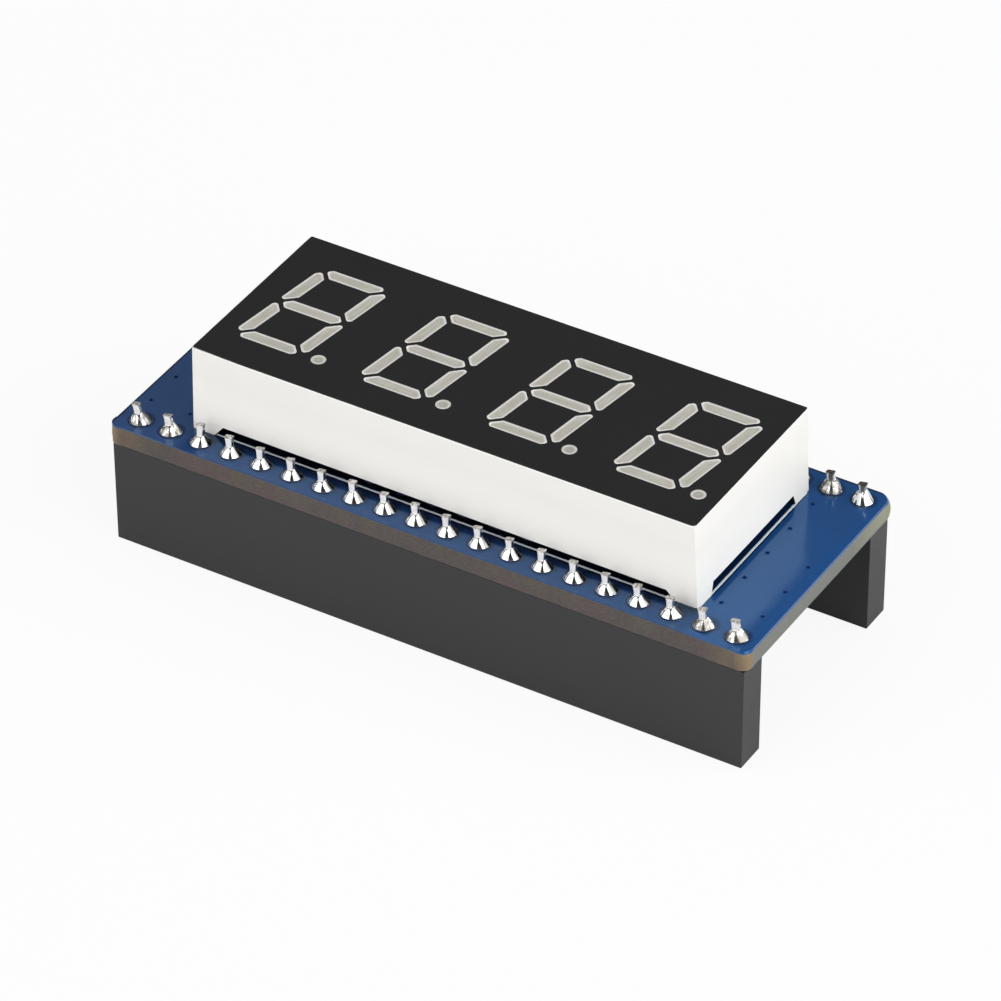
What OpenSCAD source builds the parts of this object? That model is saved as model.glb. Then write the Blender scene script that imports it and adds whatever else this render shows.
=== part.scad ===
// Four-digit seven-segment display module on a plug-on circuit board.
// Two strips of spring sockets hang under the board, their tails are soldered on its upper side, and the
// display stands on four feet between the two rows of tails.
// X runs along the board, Y from the front row to the rear row, Z up. The strips stand on Z = 0.

/* [Circuit board] */
// Thickness of the circuit board
board_thickness = 1.6; // [1:0.1:2]
// Board beyond each end of the socket strips
board_end_margin = 0.35; // [0.2:0.05:2]
// Board beyond the outer face of each socket strip
board_side_margin = 0.09; // [0.05:0.01:1.5]
// Radius of the board's corners
board_corner_radius = 1; // [0.3:0.1:2.5]

/* [Socket strips] */
// Sockets in each strip
sockets_per_strip = 20; // [18:1:22]
// Distance from one socket to the next
socket_pitch = 2.54; // [2.5:0.01:2.6]
// Bare board between the feet of the display and the pads behind them
pad_clearance = 0.17; // [0.05:0.01:0.6]
// Height from the foot of a strip to the board
strip_height = 8.5; // [7.5:0.1:10]
// Width of a strip
strip_width = 2.54; // [2.3:0.02:2.6]
// How far each end of a strip leans out from its foot to its top
strip_end_draft = 0.1; // [0:0.01:0.15]
// Air between the top of a strip and the board
strip_relief = 0.12; // [0.1:0.01:0.3]
// Width of a bump that holds a strip off the board
bump_width = 0.5; // [0.3:0.05:0.6]
// Width of the square mouth at the foot of a socket
mouth_width = 1.3; // [1.1:0.05:1.5]
// Width of the square throat behind the mouth
throat_width = 0.76; // [0.7:0.02:0.9]
// Depth of the bevel from mouth to throat
mouth_depth = 0.5; // [0.3:0.05:0.7]
// Length of the throat
throat_length = 0.6; // [0.4:0.05:1]
// Chamber behind the throat, measured along the strip
chamber_width = 0.9; // [0.75:0.05:1.2]
// Chamber behind the throat, measured across the strip
chamber_depth = 1.6; // [1.5:0.05:1.8]

/* [Spring contacts] */
// Thickness of the contact's sheet metal
contact_sheet = 0.2; // [0.15:0.01:0.25]
// Width of the sheet, measured along the strip
contact_width = 0.6; // [0.5:0.02:0.7]
// Gap between the two leaves where they grip a pin
grip_gap = 0.5; // [0.4:0.02:0.6]
// How far each leaf opens again below the grip
leaf_flare = 0.22; // [0.1:0.02:0.25]
// Height of a leaf's end above the throat
leaf_end_rise = 0.1; // [0.05:0.05:0.3]
// Height of the grip above the throat
grip_rise = 1.3; // [1:0.1:1.8]
// Height above the throat where a leaf leaves the chamber's wall
knee_rise = 3.2; // [2.6:0.1:4]
// Depth of the contact's bridge below the top of the strip
bridge_depth = 0.15; // [0.1:0.01:0.4]
// Width of the soldered tail, measured along the strip
tail_width = 0.5; // [0.4:0.02:0.6]
// Thickness of the soldered tail
tail_thickness = 0.4; // [0.3:0.02:0.45]
// Height of the tail above the board
tail_rise = 1.5; // [1:0.1:2.5]

/* [Plated holes and solder] */
// Hole in the board for a socket's tail
tail_hole_diameter = 1; // [0.95:0.05:1.1]
// Pad round a socket's tail
tail_pad_diameter = 1.6; // [1.45:0.05:1.7]
// Hole in the board for a pin of the display
pin_hole_diameter = 0.8; // [0.75:0.05:1]
// Pad round a pin of the display
pin_pad_diameter = 1.5; // [1.3:0.05:1.7]
// Thickness of the copper on walls, pads and lands
plating = 0.04; // [0.03:0.01:0.06]
// Pad left bare round a solder cone
solder_margin = 0.06; // [0.02:0.01:0.12]
// Height of a solder cone above its pad
cone_height = 0.75; // [0.5:0.05:0.9]
// Solder round the tail at the top of a cone
cone_skin = 0.03; // [0.01:0.01:0.08]
// Fullness of a cone, from 0 for straight to 1 for round
cone_fullness = 0.5; // [0:0.1:1]

/* [Display body] */
// Height of the display above the board
display_height = 7; // [6.5:0.1:9]
// How far the display stands towards the rear row
display_shift = 0.17; // [0:0.01:0.2]
// Face beyond the outermost segments at each end
face_end_margin = 1.94; // [1.8:0.02:2.4]
// Face above and below the digits
face_side_margin = 2.75; // [2.6:0.05:2.9]
// Thickness of the black face
face_thickness = 0.1; // [0.06:0.01:0.2]
// How far each end wall leans out from the face to the feet
end_draft = 0.3; // [0:0.05:0.5]
// Thickness of the housing's walls at the cavity
housing_wall = 0.9; // [0.7:0.05:1.1]
// Height of the feet
foot_height = 0.8; // [0.6:0.05:1.2]
// Length of a foot along the long side, at the board
foot_length = 1.85; // [1.2:0.05:3]
// Run of a foot's sloping end on the long side
foot_slope = 0.65; // [0.2:0.05:1]
// Length of a foot along the short side, at the board
foot_depth = 1.9; // [1.2:0.05:3]
// Run of a foot's sloping end on the short side
foot_depth_slope = 0.3; // [0.1:0.05:1]

/* [Inside the display] */
// How far the resin's back lies inside the walls
resin_recess = 0.1; // [0.05:0.05:0.3]
// Resin behind the carrier board
resin_back = 0.6; // [0.3:0.05:1]
// Thickness of the carrier board
carrier_thickness = 1; // [0.6:0.1:1.2]
// Resin round the edge of the carrier board
carrier_clearance = 0.2; // [0.1:0.05:0.3]
// Resin between the carrier board and the light wells
resin_film = 0.2; // [0.15:0.05:0.4]
// Side of a light chip
light_chip_side = 0.3; // [0.2:0.02:0.4]
// Thickness of a light chip
light_chip_thickness = 0.12; // [0.08:0.01:0.14]

/* [Digits] */
// Number of digits
digit_count = 4; // [2:1:4]
// Distance from one digit to the next
digit_pitch = 10.16; // [9.8:0.02:10.5]
// Height of a digit
digit_height = 10; // [9.6:0.1:10.4]
// Width of a digit
digit_width = 5.9; // [5.4:0.1:6.2]
// Lean of the digits to the right, in degrees
digit_slant = 8; // [0:1:10]
// Width of a segment
segment_width = 1.04; // [0.8:0.02:1.2]
// Gap between neighbouring segments
segment_gap = 0.32; // [0.2:0.02:0.44]
// Cut across each outer corner of a digit
corner_cut = 0.9; // [0.6:0.05:1.1]
// Cut at the tips beside the middle segment
tip_cut = 0.5; // [0.36:0.02:0.6]
// Distance from a digit's side to the point of its middle segment, less half a gap
waist_inset = 0.25; // [0.2:0.01:0.35]
// White rim that shows round a segment, inside the black face
well_rim = 0.12; // [0.06:0.01:0.16]
// Diameter of a decimal point
point_diameter = 1.1; // [0.8:0.05:1.2]
// Gap between a digit's side and its decimal point
point_gap = 0.56; // [0.5:0.02:0.7]
// How far a decimal point reaches below its digit
point_drop = 0.15; // [0:0.05:0.3]

/* [Display pins] */
// Pins in each row of the display
pins_per_row = 6; // [4:1:6]
// Distance from one pin to the next
pin_pitch = 2.54; // [2.5:0.01:2.6]
// Diameter of a pin
pin_diameter = 0.5; // [0.4:0.02:0.56]
// Distance from the cavity's wall to a row of pins
pin_wall_gap = 0.5; // [0.5:0.02:0.6]
// Length of a pin below the board
pin_drop = 1.3; // [1:0.1:1.6]

/* [Shift registers] */
// Distance from the outermost resistor to a chip
chip_gap = 1.45; // [1:0.05:3]
// Length of a chip's body
chip_length = 9.9; // [9.5:0.1:10.2]
// Width of a chip's body
chip_width = 3.9; // [3.7:0.1:4.1]
// Thickness of a chip's body
chip_thickness = 1.5; // [1.3:0.05:1.7]
// Air between a chip's body and its lands
chip_standoff = 0.15; // [0.1:0.01:0.25]
// Slope of a chip's moulded sides
chip_draft = 0.12; // [0.05:0.01:0.16]
// Leads on each side of a chip
leads_per_side = 8; // [6:1:8]
// Distance from one lead to the next
lead_pitch = 1.27; // [1.2:0.01:1.3]
// Distance between the toes of opposite leads
lead_span = 6; // [5.8:0.1:6.3]
// Width of a lead
lead_width = 0.4; // [0.3:0.02:0.46]
// Thickness of a lead
lead_thickness = 0.2; // [0.15:0.01:0.25]
// Length of a lead's flat foot
lead_foot = 0.55; // [0.4:0.05:0.6]
// Length of a lead inside the body
lead_root = 0.3; // [0.2:0.05:0.4]

/* [Resistors and capacitors] */
// Number of resistors between the chips
resistor_count = 8; // [4:1:8]
// Distance from one resistor to the next
resistor_pitch = 1.2; // [1.15:0.05:1.25]
// Distance of the resistors from the board's centre line
resistor_offset = 0; // [-1.5:0.1:1.5]
// Length of a resistor or capacitor
small_part_length = 1.6; // [1.4:0.05:1.8]
// Width of a resistor or capacitor
small_part_width = 0.8; // [0.6:0.05:0.95]
// Thickness of a resistor
resistor_thickness = 0.45; // [0.35:0.05:0.55]
// Thickness of a capacitor
capacitor_thickness = 0.8; // [0.6:0.05:0.9]
// Length of a metal end of a resistor or capacitor
end_length = 0.3; // [0.2:0.05:0.4]
// Distance of each capacitor from its chip's end
capacitor_gap = 1.6; // [1.2:0.1:2.5]
// Land beyond a lead or a metal end
land_margin = 0.3; // [0.2:0.05:0.4]
// How far solder climbs a resistor's metal end
resistor_solder_height = 0.35; // [0.15:0.05:0.35]
// How far solder climbs a capacitor's metal end
capacitor_solder_height = 0.5; // [0.2:0.05:0.6]

/* [Hidden] */
$fn = 32;
overcut = 1;

// Levels, from the table up
strip_top = strip_height - strip_relief;
throat_top = mouth_depth + throat_length;
board_bottom = strip_height;
board_top = board_bottom + board_thickness;
land_level = board_bottom - plating;
wall_bottom = board_top + foot_height;
resin_bottom = wall_bottom + resin_recess;
carrier_bottom = resin_bottom + resin_back;
carrier_top = carrier_bottom + carrier_thickness;
reflector_bottom = carrier_top + resin_film;
display_top = board_top + display_height;
housing_top = display_top - face_thickness;

// Digits and the housing round them
half_width = digit_width / 2;
half_height = digit_height / 2;
digit_places = [for (i = [0 : digit_count - 1]) (i - (digit_count - 1) / 2) * digit_pitch];
face_length = (digit_count - 1) * digit_pitch + digit_width + 2 * face_end_margin;
face_depth = digit_height + 2 * face_side_margin;
base_length = face_length + 2 * end_draft;
cavity_length = face_length - 2 * housing_wall;
cavity_depth = face_depth - 2 * housing_wall;

// Socket strips, clear of the display, and the board round them
strip_length = sockets_per_strip * socket_pitch;
strip_spacing = face_depth + 2 * (display_shift + pad_clearance) + tail_pad_diameter;
board_length = strip_length + 2 * board_end_margin;
board_width = strip_spacing + strip_width + 2 * board_side_margin;
front_row = -strip_spacing / 2;
rear_row = strip_spacing / 2;
socket_places = [for (i = [0 : sockets_per_strip - 1]) (i - (sockets_per_strip - 1) / 2) * socket_pitch];
bump_gaps = [0, floor(sockets_per_strip / 2) - 1, sockets_per_strip - 2];

// Display pins
pin_places = [for (i = [0 : pins_per_row - 1]) (i - (pins_per_row - 1) / 2) * pin_pitch];
pin_row_offset = cavity_depth / 2 - pin_wall_gap;
front_pin_row = display_shift - pin_row_offset;
rear_pin_row = display_shift + pin_row_offset;

// Parts on the underside
lead_places = [for (i = [0 : leads_per_side - 1]) (i - (leads_per_side - 1) / 2) * lead_pitch];
resistor_places = [for (i = [0 : resistor_count - 1]) (i - (resistor_count - 1) / 2) * resistor_pitch];
resistor_row_end = (resistor_count - 1) / 2 * resistor_pitch + small_part_width / 2;
chip_offset = resistor_row_end + chip_gap + chip_length / 2;
capacitor_offset = chip_offset + chip_length / 2 + capacitor_gap;
capacitor_places = [-capacitor_offset, capacitor_offset];
lead_middle = chip_standoff + chip_thickness / 2;

module block(length, depth, low, high) {
    translate([-length / 2, -depth / 2, low]) cube([length, depth, high - low]);
}

// A profile drawn in X and Z, carried along Y over the given depth
module along_y(depth) {
    rotate([90, 0, 0]) translate([0, 0, -depth / 2]) linear_extrude(depth) children();
}

// A profile drawn in Y and Z, carried along X over the given length
module along_x(length) {
    rotate([90, 0, 90]) translate([0, 0, -length / 2]) linear_extrude(length) children();
}

// An upright trapezoid between two levels
module trapezoid(low_width, low, high_width, high) {
    polygon([[-low_width / 2, low], [low_width / 2, low], [high_width / 2, high], [-high_width / 2, high]]);
}

// Circuit board

module board_outline() {
    inner_length = board_length - 2 * board_corner_radius;
    inner_width = board_width - 2 * board_corner_radius;
    square([inner_length, board_width], center = true);
    square([board_length, inner_width], center = true);
    for (x = [-inner_length / 2, inner_length / 2], y = [-inner_width / 2, inner_width / 2])
        translate([x, y]) circle(r = board_corner_radius);
}

module hole_row(places, row, diameter) {
    for (x = places) translate([x, row, board_bottom - overcut])
        cylinder(d = diameter, h = board_thickness + 2 * overcut);
}

module circuit_board() {
    color([0.12, 0.27, 0.52]) difference() {
        translate([0, 0, board_bottom]) linear_extrude(board_thickness) board_outline();
        for (row = [front_row, rear_row]) hole_row(socket_places, row, tail_hole_diameter);
        for (row = [front_pin_row, rear_pin_row]) hole_row(pin_places, row, pin_hole_diameter);
    }
}

// A copper lining with a pad on each face of the board, as a turned profile
module plated_hole(hole_diameter, pad_diameter) {
    hole = hole_diameter / 2;
    pad = pad_diameter / 2;
    rotate_extrude() polygon([
        [hole - plating, board_bottom - plating], [pad, board_bottom - plating], [pad, board_bottom],
        [hole, board_bottom], [hole, board_top], [pad, board_top],
        [pad, board_top + plating], [hole - plating, board_top + plating]
    ]);
}

module socket_pads() {
    color([0.78, 0.78, 0.76]) for (row = [front_row, rear_row], x = socket_places)
        translate([x, row, 0]) plated_hole(tail_hole_diameter, tail_pad_diameter);
}

module display_pads() {
    color([0.78, 0.78, 0.76]) for (row = [front_pin_row, rear_pin_row], x = pin_places)
        translate([x, row, 0]) plated_hole(pin_hole_diameter, pin_pad_diameter);
}

// Socket strips

// Mouth, throat and chamber of one socket, open at both ends of the strip
module socket_cut() {
    mouth_outside = mouth_width + (mouth_width - throat_width) / mouth_depth * overcut;
    intersection() {
        along_y(mouth_outside) trapezoid(mouth_outside, -overcut, throat_width, mouth_depth);
        along_x(mouth_outside) trapezoid(mouth_outside, -overcut, throat_width, mouth_depth);
    }
    block(throat_width, throat_width, mouth_depth / 2, throat_top + contact_sheet);
    block(chamber_width, chamber_depth, throat_top, strip_top + overcut);
}

module strip_housing() {
    difference() {
        union() {
            along_y(strip_width)
                trapezoid(strip_length, 0, strip_length + 2 * strip_end_draft, strip_top);
            for (i = bump_gaps) translate([(socket_places[i] + socket_places[i + 1]) / 2, 0, 0])
                block(bump_width, strip_width, strip_top - strip_relief, strip_height);
        }
        for (x = socket_places) translate([x, 0, 0]) socket_cut();
    }
}

module front_strip_housing() {
    color([0.2, 0.2, 0.21]) translate([0, front_row, 0]) strip_housing();
}

module rear_strip_housing() {
    color([0.2, 0.2, 0.21]) translate([0, rear_row, 0]) strip_housing();
}

// One leaf of a contact and its half of the bridge, as points in Y and Z
function leaf_outline() =
    let (wall = chamber_depth / 2, grip = grip_gap / 2, bridge = strip_top - bridge_depth,
         knee = throat_top + knee_rise, grip_level = throat_top + grip_rise,
         toe = throat_top + leaf_end_rise)
    [[0, bridge], [wall, bridge], [wall, knee], [grip + contact_sheet, grip_level],
     [grip + contact_sheet + leaf_flare, toe], [grip + leaf_flare, toe], [grip, grip_level],
     [wall - contact_sheet, knee], [wall - contact_sheet, bridge - contact_sheet],
     [0, bridge - contact_sheet]];

// A folded sheet with two leaves below its bridge and a straight tail above it
module spring_contact() {
    leaf = leaf_outline();
    others = [for (i = [len(leaf) - 2 : -1 : 1]) [-leaf[i][0], leaf[i][1]]];
    bridge = strip_top - bridge_depth;
    along_x(contact_width) polygon(concat(leaf, others));
    block(tail_width, tail_thickness, bridge - contact_sheet, board_top + tail_rise);
}

module strip_contacts() {
    for (x = socket_places) translate([x, 0, 0]) spring_contact();
}

module front_strip_contacts() {
    color([0.83, 0.82, 0.78]) translate([0, front_row, 0]) strip_contacts();
}

module rear_strip_contacts() {
    color([0.83, 0.82, 0.78]) translate([0, rear_row, 0]) strip_contacts();
}

// Solder

// Points of a solder cone, from its foot on the pad to its neck: halfway between a straight side and a
// quarter of an ellipse at the default fullness
function cone_side(foot, neck, low) = [
    for (turn = [0 : 15 : 90])
        let (share = (1 - cone_fullness) * (1 - sin(turn)) + cone_fullness * cos(turn))
        [neck + (foot - neck) * share, low + cone_height * sin(turn)]
];

// Solder that fills a plated hole and stands as a cone on its pad, upright from level 0
module solder_joint(hole_diameter, pad_diameter, neck) {
    bore = hole_diameter / 2 - plating;
    foot = pad_diameter / 2 - solder_margin;
    pad_level = board_thickness + plating;
    rotate_extrude() polygon(concat(
        [[0, 0], [bore, 0], [bore, pad_level]],
        cone_side(foot, neck, pad_level),
        [[0, pad_level + cone_height]]
    ));
}

module tail_solder() {
    neck = norm([tail_width, tail_thickness]) / 2 + cone_skin;
    for (x = socket_places) translate([x, 0, board_bottom]) difference() {
        solder_joint(tail_hole_diameter, tail_pad_diameter, neck);
        block(tail_width, tail_thickness, -overcut, board_thickness + cone_height + overcut);
    }
}

module front_tail_solder() {
    color([0.86, 0.87, 0.88]) translate([0, front_row, 0]) tail_solder();
}

module rear_tail_solder() {
    color([0.86, 0.87, 0.88]) translate([0, rear_row, 0]) tail_solder();
}

module display_pin_solder() {
    neck = pin_diameter / 2 + cone_skin;
    color([0.86, 0.87, 0.88]) for (row = [front_pin_row, rear_pin_row], x = pin_places)
        translate([x, row, board_top]) mirror([0, 0, 1]) difference() {
            solder_joint(pin_hole_diameter, pin_pad_diameter, neck);
            translate([0, 0, -overcut])
                cylinder(d = pin_diameter, h = board_thickness + cone_height + 2 * overcut);
        }
}

// Segments of one digit, as outlines about the digit's centre before it leans

// Top segment: a bar with mitred ends and cut outer corners
function top_segment(inset) =
    let (mitre = (segment_gap / 2 + inset) * sqrt(2), cut = corner_cut + inset * sqrt(2),
         outer = half_height - inset, inner = half_height - segment_width + inset,
         corner_x = half_width - cut + inset, tip_x = half_width - (mitre + cut) / 2,
         tip_y = half_height + (mitre - cut) / 2,
         inner_x = half_width - segment_width - mitre + inset)
    [[-corner_x, outer], [corner_x, outer], [tip_x, tip_y], [inner_x, inner], [-inner_x, inner],
     [-tip_x, tip_y]];

// Upper left segment: mitred against the top segment and against the point of the middle one
function side_segment(inset) =
    let (mitre = (segment_gap / 2 + inset) * sqrt(2), cut = corner_cut + inset * sqrt(2),
         waist = mitre - waist_inset, tip = tip_cut + inset * sqrt(2),
         outer = -half_width + inset, inner = -half_width + segment_width - inset)
    [[outer, tip - inset], [outer, half_height - cut + inset],
     [-half_width + (cut - mitre) / 2, half_height - (mitre + cut) / 2],
     [inner, half_height - segment_width + inset - mitre],
     [inner, segment_width - inset + waist], [-half_width + (tip - waist) / 2, (waist + tip) / 2]];

// Middle segment: a bar with pointed ends
function middle_segment(inset) =
    let (mitre = (segment_gap / 2 + inset) * sqrt(2), edge = segment_width / 2 - inset,
         point = half_width - waist_inset - mitre, shoulder = point - edge)
    [[-point, 0], [-shoulder, edge], [shoulder, edge], [point, 0], [shoulder, -edge], [-shoulder, -edge]];

function mirrored(points, x, y) = [for (p = points) [x * p[0], y * p[1]]];
function leaning(p) = [p[0] + p[1] * tan(digit_slant), p[1]];

// All seven outlines of a digit, leaning to the right
function digit_outlines(inset) = [
    for (outline = [
        top_segment(inset), mirrored(top_segment(inset), 1, -1), middle_segment(inset),
        side_segment(inset), mirrored(side_segment(inset), -1, 1),
        mirrored(side_segment(inset), 1, -1), mirrored(side_segment(inset), -1, -1)
    ]) [for (p = outline) leaning(p)]
];

point_place = leaning([
    half_width + point_gap + point_diameter / 2,
    -half_height - point_drop + point_diameter / 2
]);

// Centres of the seven segments and the decimal point, where the light chips sit
light_places = concat(
    [for (p = [
        [0, half_height - segment_width / 2], [0, -half_height + segment_width / 2], [0, 0],
        [-half_width + segment_width / 2, half_height / 2],
        [half_width - segment_width / 2, half_height / 2],
        [-half_width + segment_width / 2, -half_height / 2],
        [half_width - segment_width / 2, -half_height / 2]
    ]) leaning(p)],
    [point_place]
);

// The shapes of all digits between two levels
module digit_prisms(inset, low, high) {
    for (x = digit_places) translate([x, display_shift, low]) linear_extrude(high - low) {
        for (outline = digit_outlines(inset)) polygon(outline);
        translate(point_place) circle(d = point_diameter - 2 * inset);
    }
}

// Display

module display_at(low) {
    translate([0, display_shift, low]) children();
}

// White moulding: four walls with a foot at each corner and a thick floor pierced by the light wells
module display_housing() {
    color([0.93, 0.92, 0.9]) difference() {
        display_at(0) difference() {
            along_y(face_depth) trapezoid(base_length, board_top, face_length, housing_top);
            foot_gap = base_length - 2 * foot_length;
            foot_rise = foot_height + overcut;
            along_y(face_depth + 2 * overcut) trapezoid(
                foot_gap + 2 * foot_slope / foot_height * overcut, board_top - overcut,
                foot_gap - 2 * foot_slope, wall_bottom);
            foot_gap_depth = face_depth - 2 * foot_depth;
            along_x(base_length + 2 * overcut) trapezoid(
                foot_gap_depth + 2 * foot_depth_slope / foot_height * overcut, board_top - overcut,
                foot_gap_depth - 2 * foot_depth_slope, wall_bottom);
            block(cavity_length, cavity_depth, wall_bottom, reflector_bottom);
        }
        digit_prisms(well_rim, reflector_bottom - overcut / 2, housing_top + overcut);
    }
}

// Black layer over the housing's top, open at every segment and point
module display_face() {
    color([0.17, 0.17, 0.17]) difference() {
        display_at(0) block(face_length, face_depth, housing_top, display_top);
        digit_prisms(0, housing_top - overcut, display_top + overcut);
    }
}

module pin_holes(low, high) {
    for (row = [front_pin_row, rear_pin_row], x = pin_places) translate([x, row, low])
        cylinder(d = pin_diameter, h = high - low);
}

module light_chip_blocks(high) {
    for (x = digit_places, p = light_places) translate([x + p[0], display_shift + p[1], 0])
        block(light_chip_side, light_chip_side, carrier_top, high);
}

module carrier_block() {
    display_at(0) block(cavity_length - 2 * carrier_clearance, cavity_depth - 2 * carrier_clearance,
                        carrier_bottom, carrier_top);
}

// Cast resin: it fills the wells and closes the back round the carrier board
module display_resin() {
    color([0.76, 0.75, 0.71]) difference() {
        union() {
            display_at(0) block(cavity_length, cavity_depth, resin_bottom, reflector_bottom);
            digit_prisms(well_rim, carrier_top + resin_film / 2, housing_top);
        }
        carrier_block();
        light_chip_blocks(carrier_top + light_chip_thickness);
        pin_holes(resin_bottom - overcut, carrier_top);
    }
}

module display_carrier_board() {
    color([0.85, 0.82, 0.66]) difference() {
        carrier_block();
        pin_holes(carrier_bottom - overcut, carrier_top + overcut);
    }
}

module light_chips() {
    color([0.62, 0.3, 0.2]) light_chip_blocks(carrier_top + light_chip_thickness);
}

module display_pins(row) {
    for (x = pin_places) translate([x, row, board_bottom - pin_drop])
        cylinder(d = pin_diameter, h = carrier_top - board_bottom + pin_drop);
}

module front_display_pins() {
    color([0.82, 0.82, 0.8]) display_pins(front_pin_row);
}

module rear_display_pins() {
    color([0.82, 0.82, 0.8]) display_pins(rear_pin_row);
}

// Parts on the underside, each drawn upright on level 0 and hung from the board

module hung(x, y) {
    translate([x, y, land_level]) mirror([0, 0, 1]) children();
}

// Sides of a moulded chip, widest where the leads come out
function chip_profile(width) =
    let (low = chip_standoff, high = chip_standoff + chip_thickness, waist = width / 2,
         ends = width / 2 - chip_draft)
    [[-ends, low], [ends, low], [waist, lead_middle], [ends, high], [-ends, high], [-waist, lead_middle]];

// One lead: out of the body, down and out again to a flat foot, as points in Y and Z
function lead_outline() =
    let (root = chip_width / 2 - lead_root, toe = lead_span / 2, heel = toe - lead_foot,
         upper = lead_middle + lead_thickness / 2, lower = lead_middle - lead_thickness / 2,
         knee = (chip_width / 2 + heel) / 2)
    [[root, lower], [knee, lower], [heel, 0], [toe, 0], [toe, lead_thickness],
     [heel + lead_thickness, lead_thickness], [knee + lead_thickness, upper], [root, upper]];

module register_leads() {
    for (x = lead_places, side = [0, 1]) translate([x, 0, 0]) mirror([0, side, 0])
        along_x(lead_width) polygon(lead_outline());
}

module register_body() {
    mark_radius = 0.5;
    mark_depth = 0.1;
    difference() {
        intersection() {
            along_y(chip_width) polygon(chip_profile(chip_length));
            along_x(chip_length) polygon(chip_profile(chip_width));
        }
        translate([-chip_length / 2 + 3 * mark_radius, -chip_width / 2 + 2 * mark_radius,
                   chip_standoff + chip_thickness - mark_depth])
            cylinder(r = mark_radius, h = overcut);
        register_leads();
    }
}

module left_register_body() {
    color([0.1, 0.1, 0.11]) hung(-chip_offset, 0) register_body();
}

module right_register_body() {
    color([0.1, 0.1, 0.11]) hung(chip_offset, 0) register_body();
}

module left_register_leads() {
    color([0.75, 0.75, 0.74]) hung(-chip_offset, 0) register_leads();
}

module right_register_leads() {
    color([0.75, 0.75, 0.74]) hung(chip_offset, 0) register_leads();
}

// A resistor or capacitor lies along Y: its body between two metal ends
module small_part_body(thickness) {
    block(small_part_width, small_part_length - 2 * end_length, 0, thickness);
}

module small_part_ends(thickness) {
    for (side = [-1, 1]) translate([0, side * (small_part_length - end_length) / 2, 0])
        block(small_part_width, end_length, 0, thickness);
}

module resistor_bodies() {
    color([0.12, 0.12, 0.13]) for (x = resistor_places) hung(x, resistor_offset)
        small_part_body(resistor_thickness);
}

module resistor_ends() {
    color([0.82, 0.82, 0.8]) for (x = resistor_places) hung(x, resistor_offset)
        small_part_ends(resistor_thickness);
}

module capacitor_bodies() {
    color([0.62, 0.5, 0.36]) for (x = capacitor_places) hung(x, 0) small_part_body(capacitor_thickness);
}

module capacitor_ends() {
    color([0.82, 0.82, 0.8]) for (x = capacitor_places) hung(x, 0) small_part_ends(capacitor_thickness);
}

// Flat copper under every lead and metal end
module land(x, y, length, depth) {
    translate([x, y, 0]) block(length, depth, land_level, board_bottom);
}

module component_lands() {
    lead_land = lead_foot + land_margin;
    end_land = end_length + land_margin;
    color([0.78, 0.78, 0.76]) {
        for (chip = [-chip_offset, chip_offset], x = lead_places, side = [-1, 1])
            land(chip + x, side * (lead_span / 2 - lead_foot + lead_land / 2), lead_width + 2 * plating,
                 lead_land);
        for (side = [-1, 1]) {
            end_middle = side * (small_part_length / 2 - end_length + end_land / 2);
            for (x = resistor_places) land(x, resistor_offset + end_middle, small_part_width, end_land);
            for (x = capacitor_places) land(x, end_middle, small_part_width, end_land);
        }
    }
}

// A wedge of solder against an upright face at the given distance from the part's middle
module solder_wedge(width, face, height) {
    run = land_margin - plating;
    for (side = [0, 1]) mirror([0, side, 0])
        along_x(width) polygon([[face, 0], [face + run, 0], [face, height]]);
}

module component_solder() {
    color([0.86, 0.87, 0.88]) {
        for (chip = [-chip_offset, chip_offset], x = lead_places) hung(chip + x, 0)
            solder_wedge(lead_width, lead_span / 2, lead_thickness);
        for (x = resistor_places) hung(x, resistor_offset)
            solder_wedge(small_part_width - 2 * plating, small_part_length / 2, resistor_solder_height);
        for (x = capacitor_places) hung(x, 0)
            solder_wedge(small_part_width - 2 * plating, small_part_length / 2, capacitor_solder_height);
    }
}

circuit_board();
socket_pads();
display_pads();
component_lands();
front_strip_housing();
rear_strip_housing();
front_strip_contacts();
rear_strip_contacts();
front_tail_solder();
rear_tail_solder();
display_housing();
display_face();
display_resin();
display_carrier_board();
light_chips();
front_display_pins();
rear_display_pins();
display_pin_solder();
left_register_body();
left_register_leads();
right_register_body();
right_register_leads();
resistor_bodies();
resistor_ends();
capacitor_bodies();
capacitor_ends();
component_solder();
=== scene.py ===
import math
from functools import cached_property

import bmesh
import bpy
import numpy as np
from mathutils import Matrix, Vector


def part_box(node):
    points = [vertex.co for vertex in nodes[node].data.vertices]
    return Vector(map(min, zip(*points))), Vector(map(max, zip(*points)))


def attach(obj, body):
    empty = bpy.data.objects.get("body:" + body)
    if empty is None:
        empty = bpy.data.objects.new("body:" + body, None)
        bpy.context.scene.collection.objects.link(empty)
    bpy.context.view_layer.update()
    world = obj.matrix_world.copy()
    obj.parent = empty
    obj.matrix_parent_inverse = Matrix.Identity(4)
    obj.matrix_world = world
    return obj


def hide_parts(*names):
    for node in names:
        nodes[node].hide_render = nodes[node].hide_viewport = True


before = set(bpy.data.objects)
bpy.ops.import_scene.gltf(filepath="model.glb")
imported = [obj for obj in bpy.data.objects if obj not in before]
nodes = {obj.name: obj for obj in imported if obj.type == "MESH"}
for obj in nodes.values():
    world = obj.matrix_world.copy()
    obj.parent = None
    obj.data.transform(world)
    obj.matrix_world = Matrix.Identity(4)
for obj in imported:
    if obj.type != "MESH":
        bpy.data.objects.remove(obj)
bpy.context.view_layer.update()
mm = 0.001
print("frame loaded:", len(nodes), "nodes")


# Places that the CAD solids give, in millimetres

def boxOf(name):
    low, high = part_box(name)
    return np.array(low) / mm, np.array(high) / mm


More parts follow.
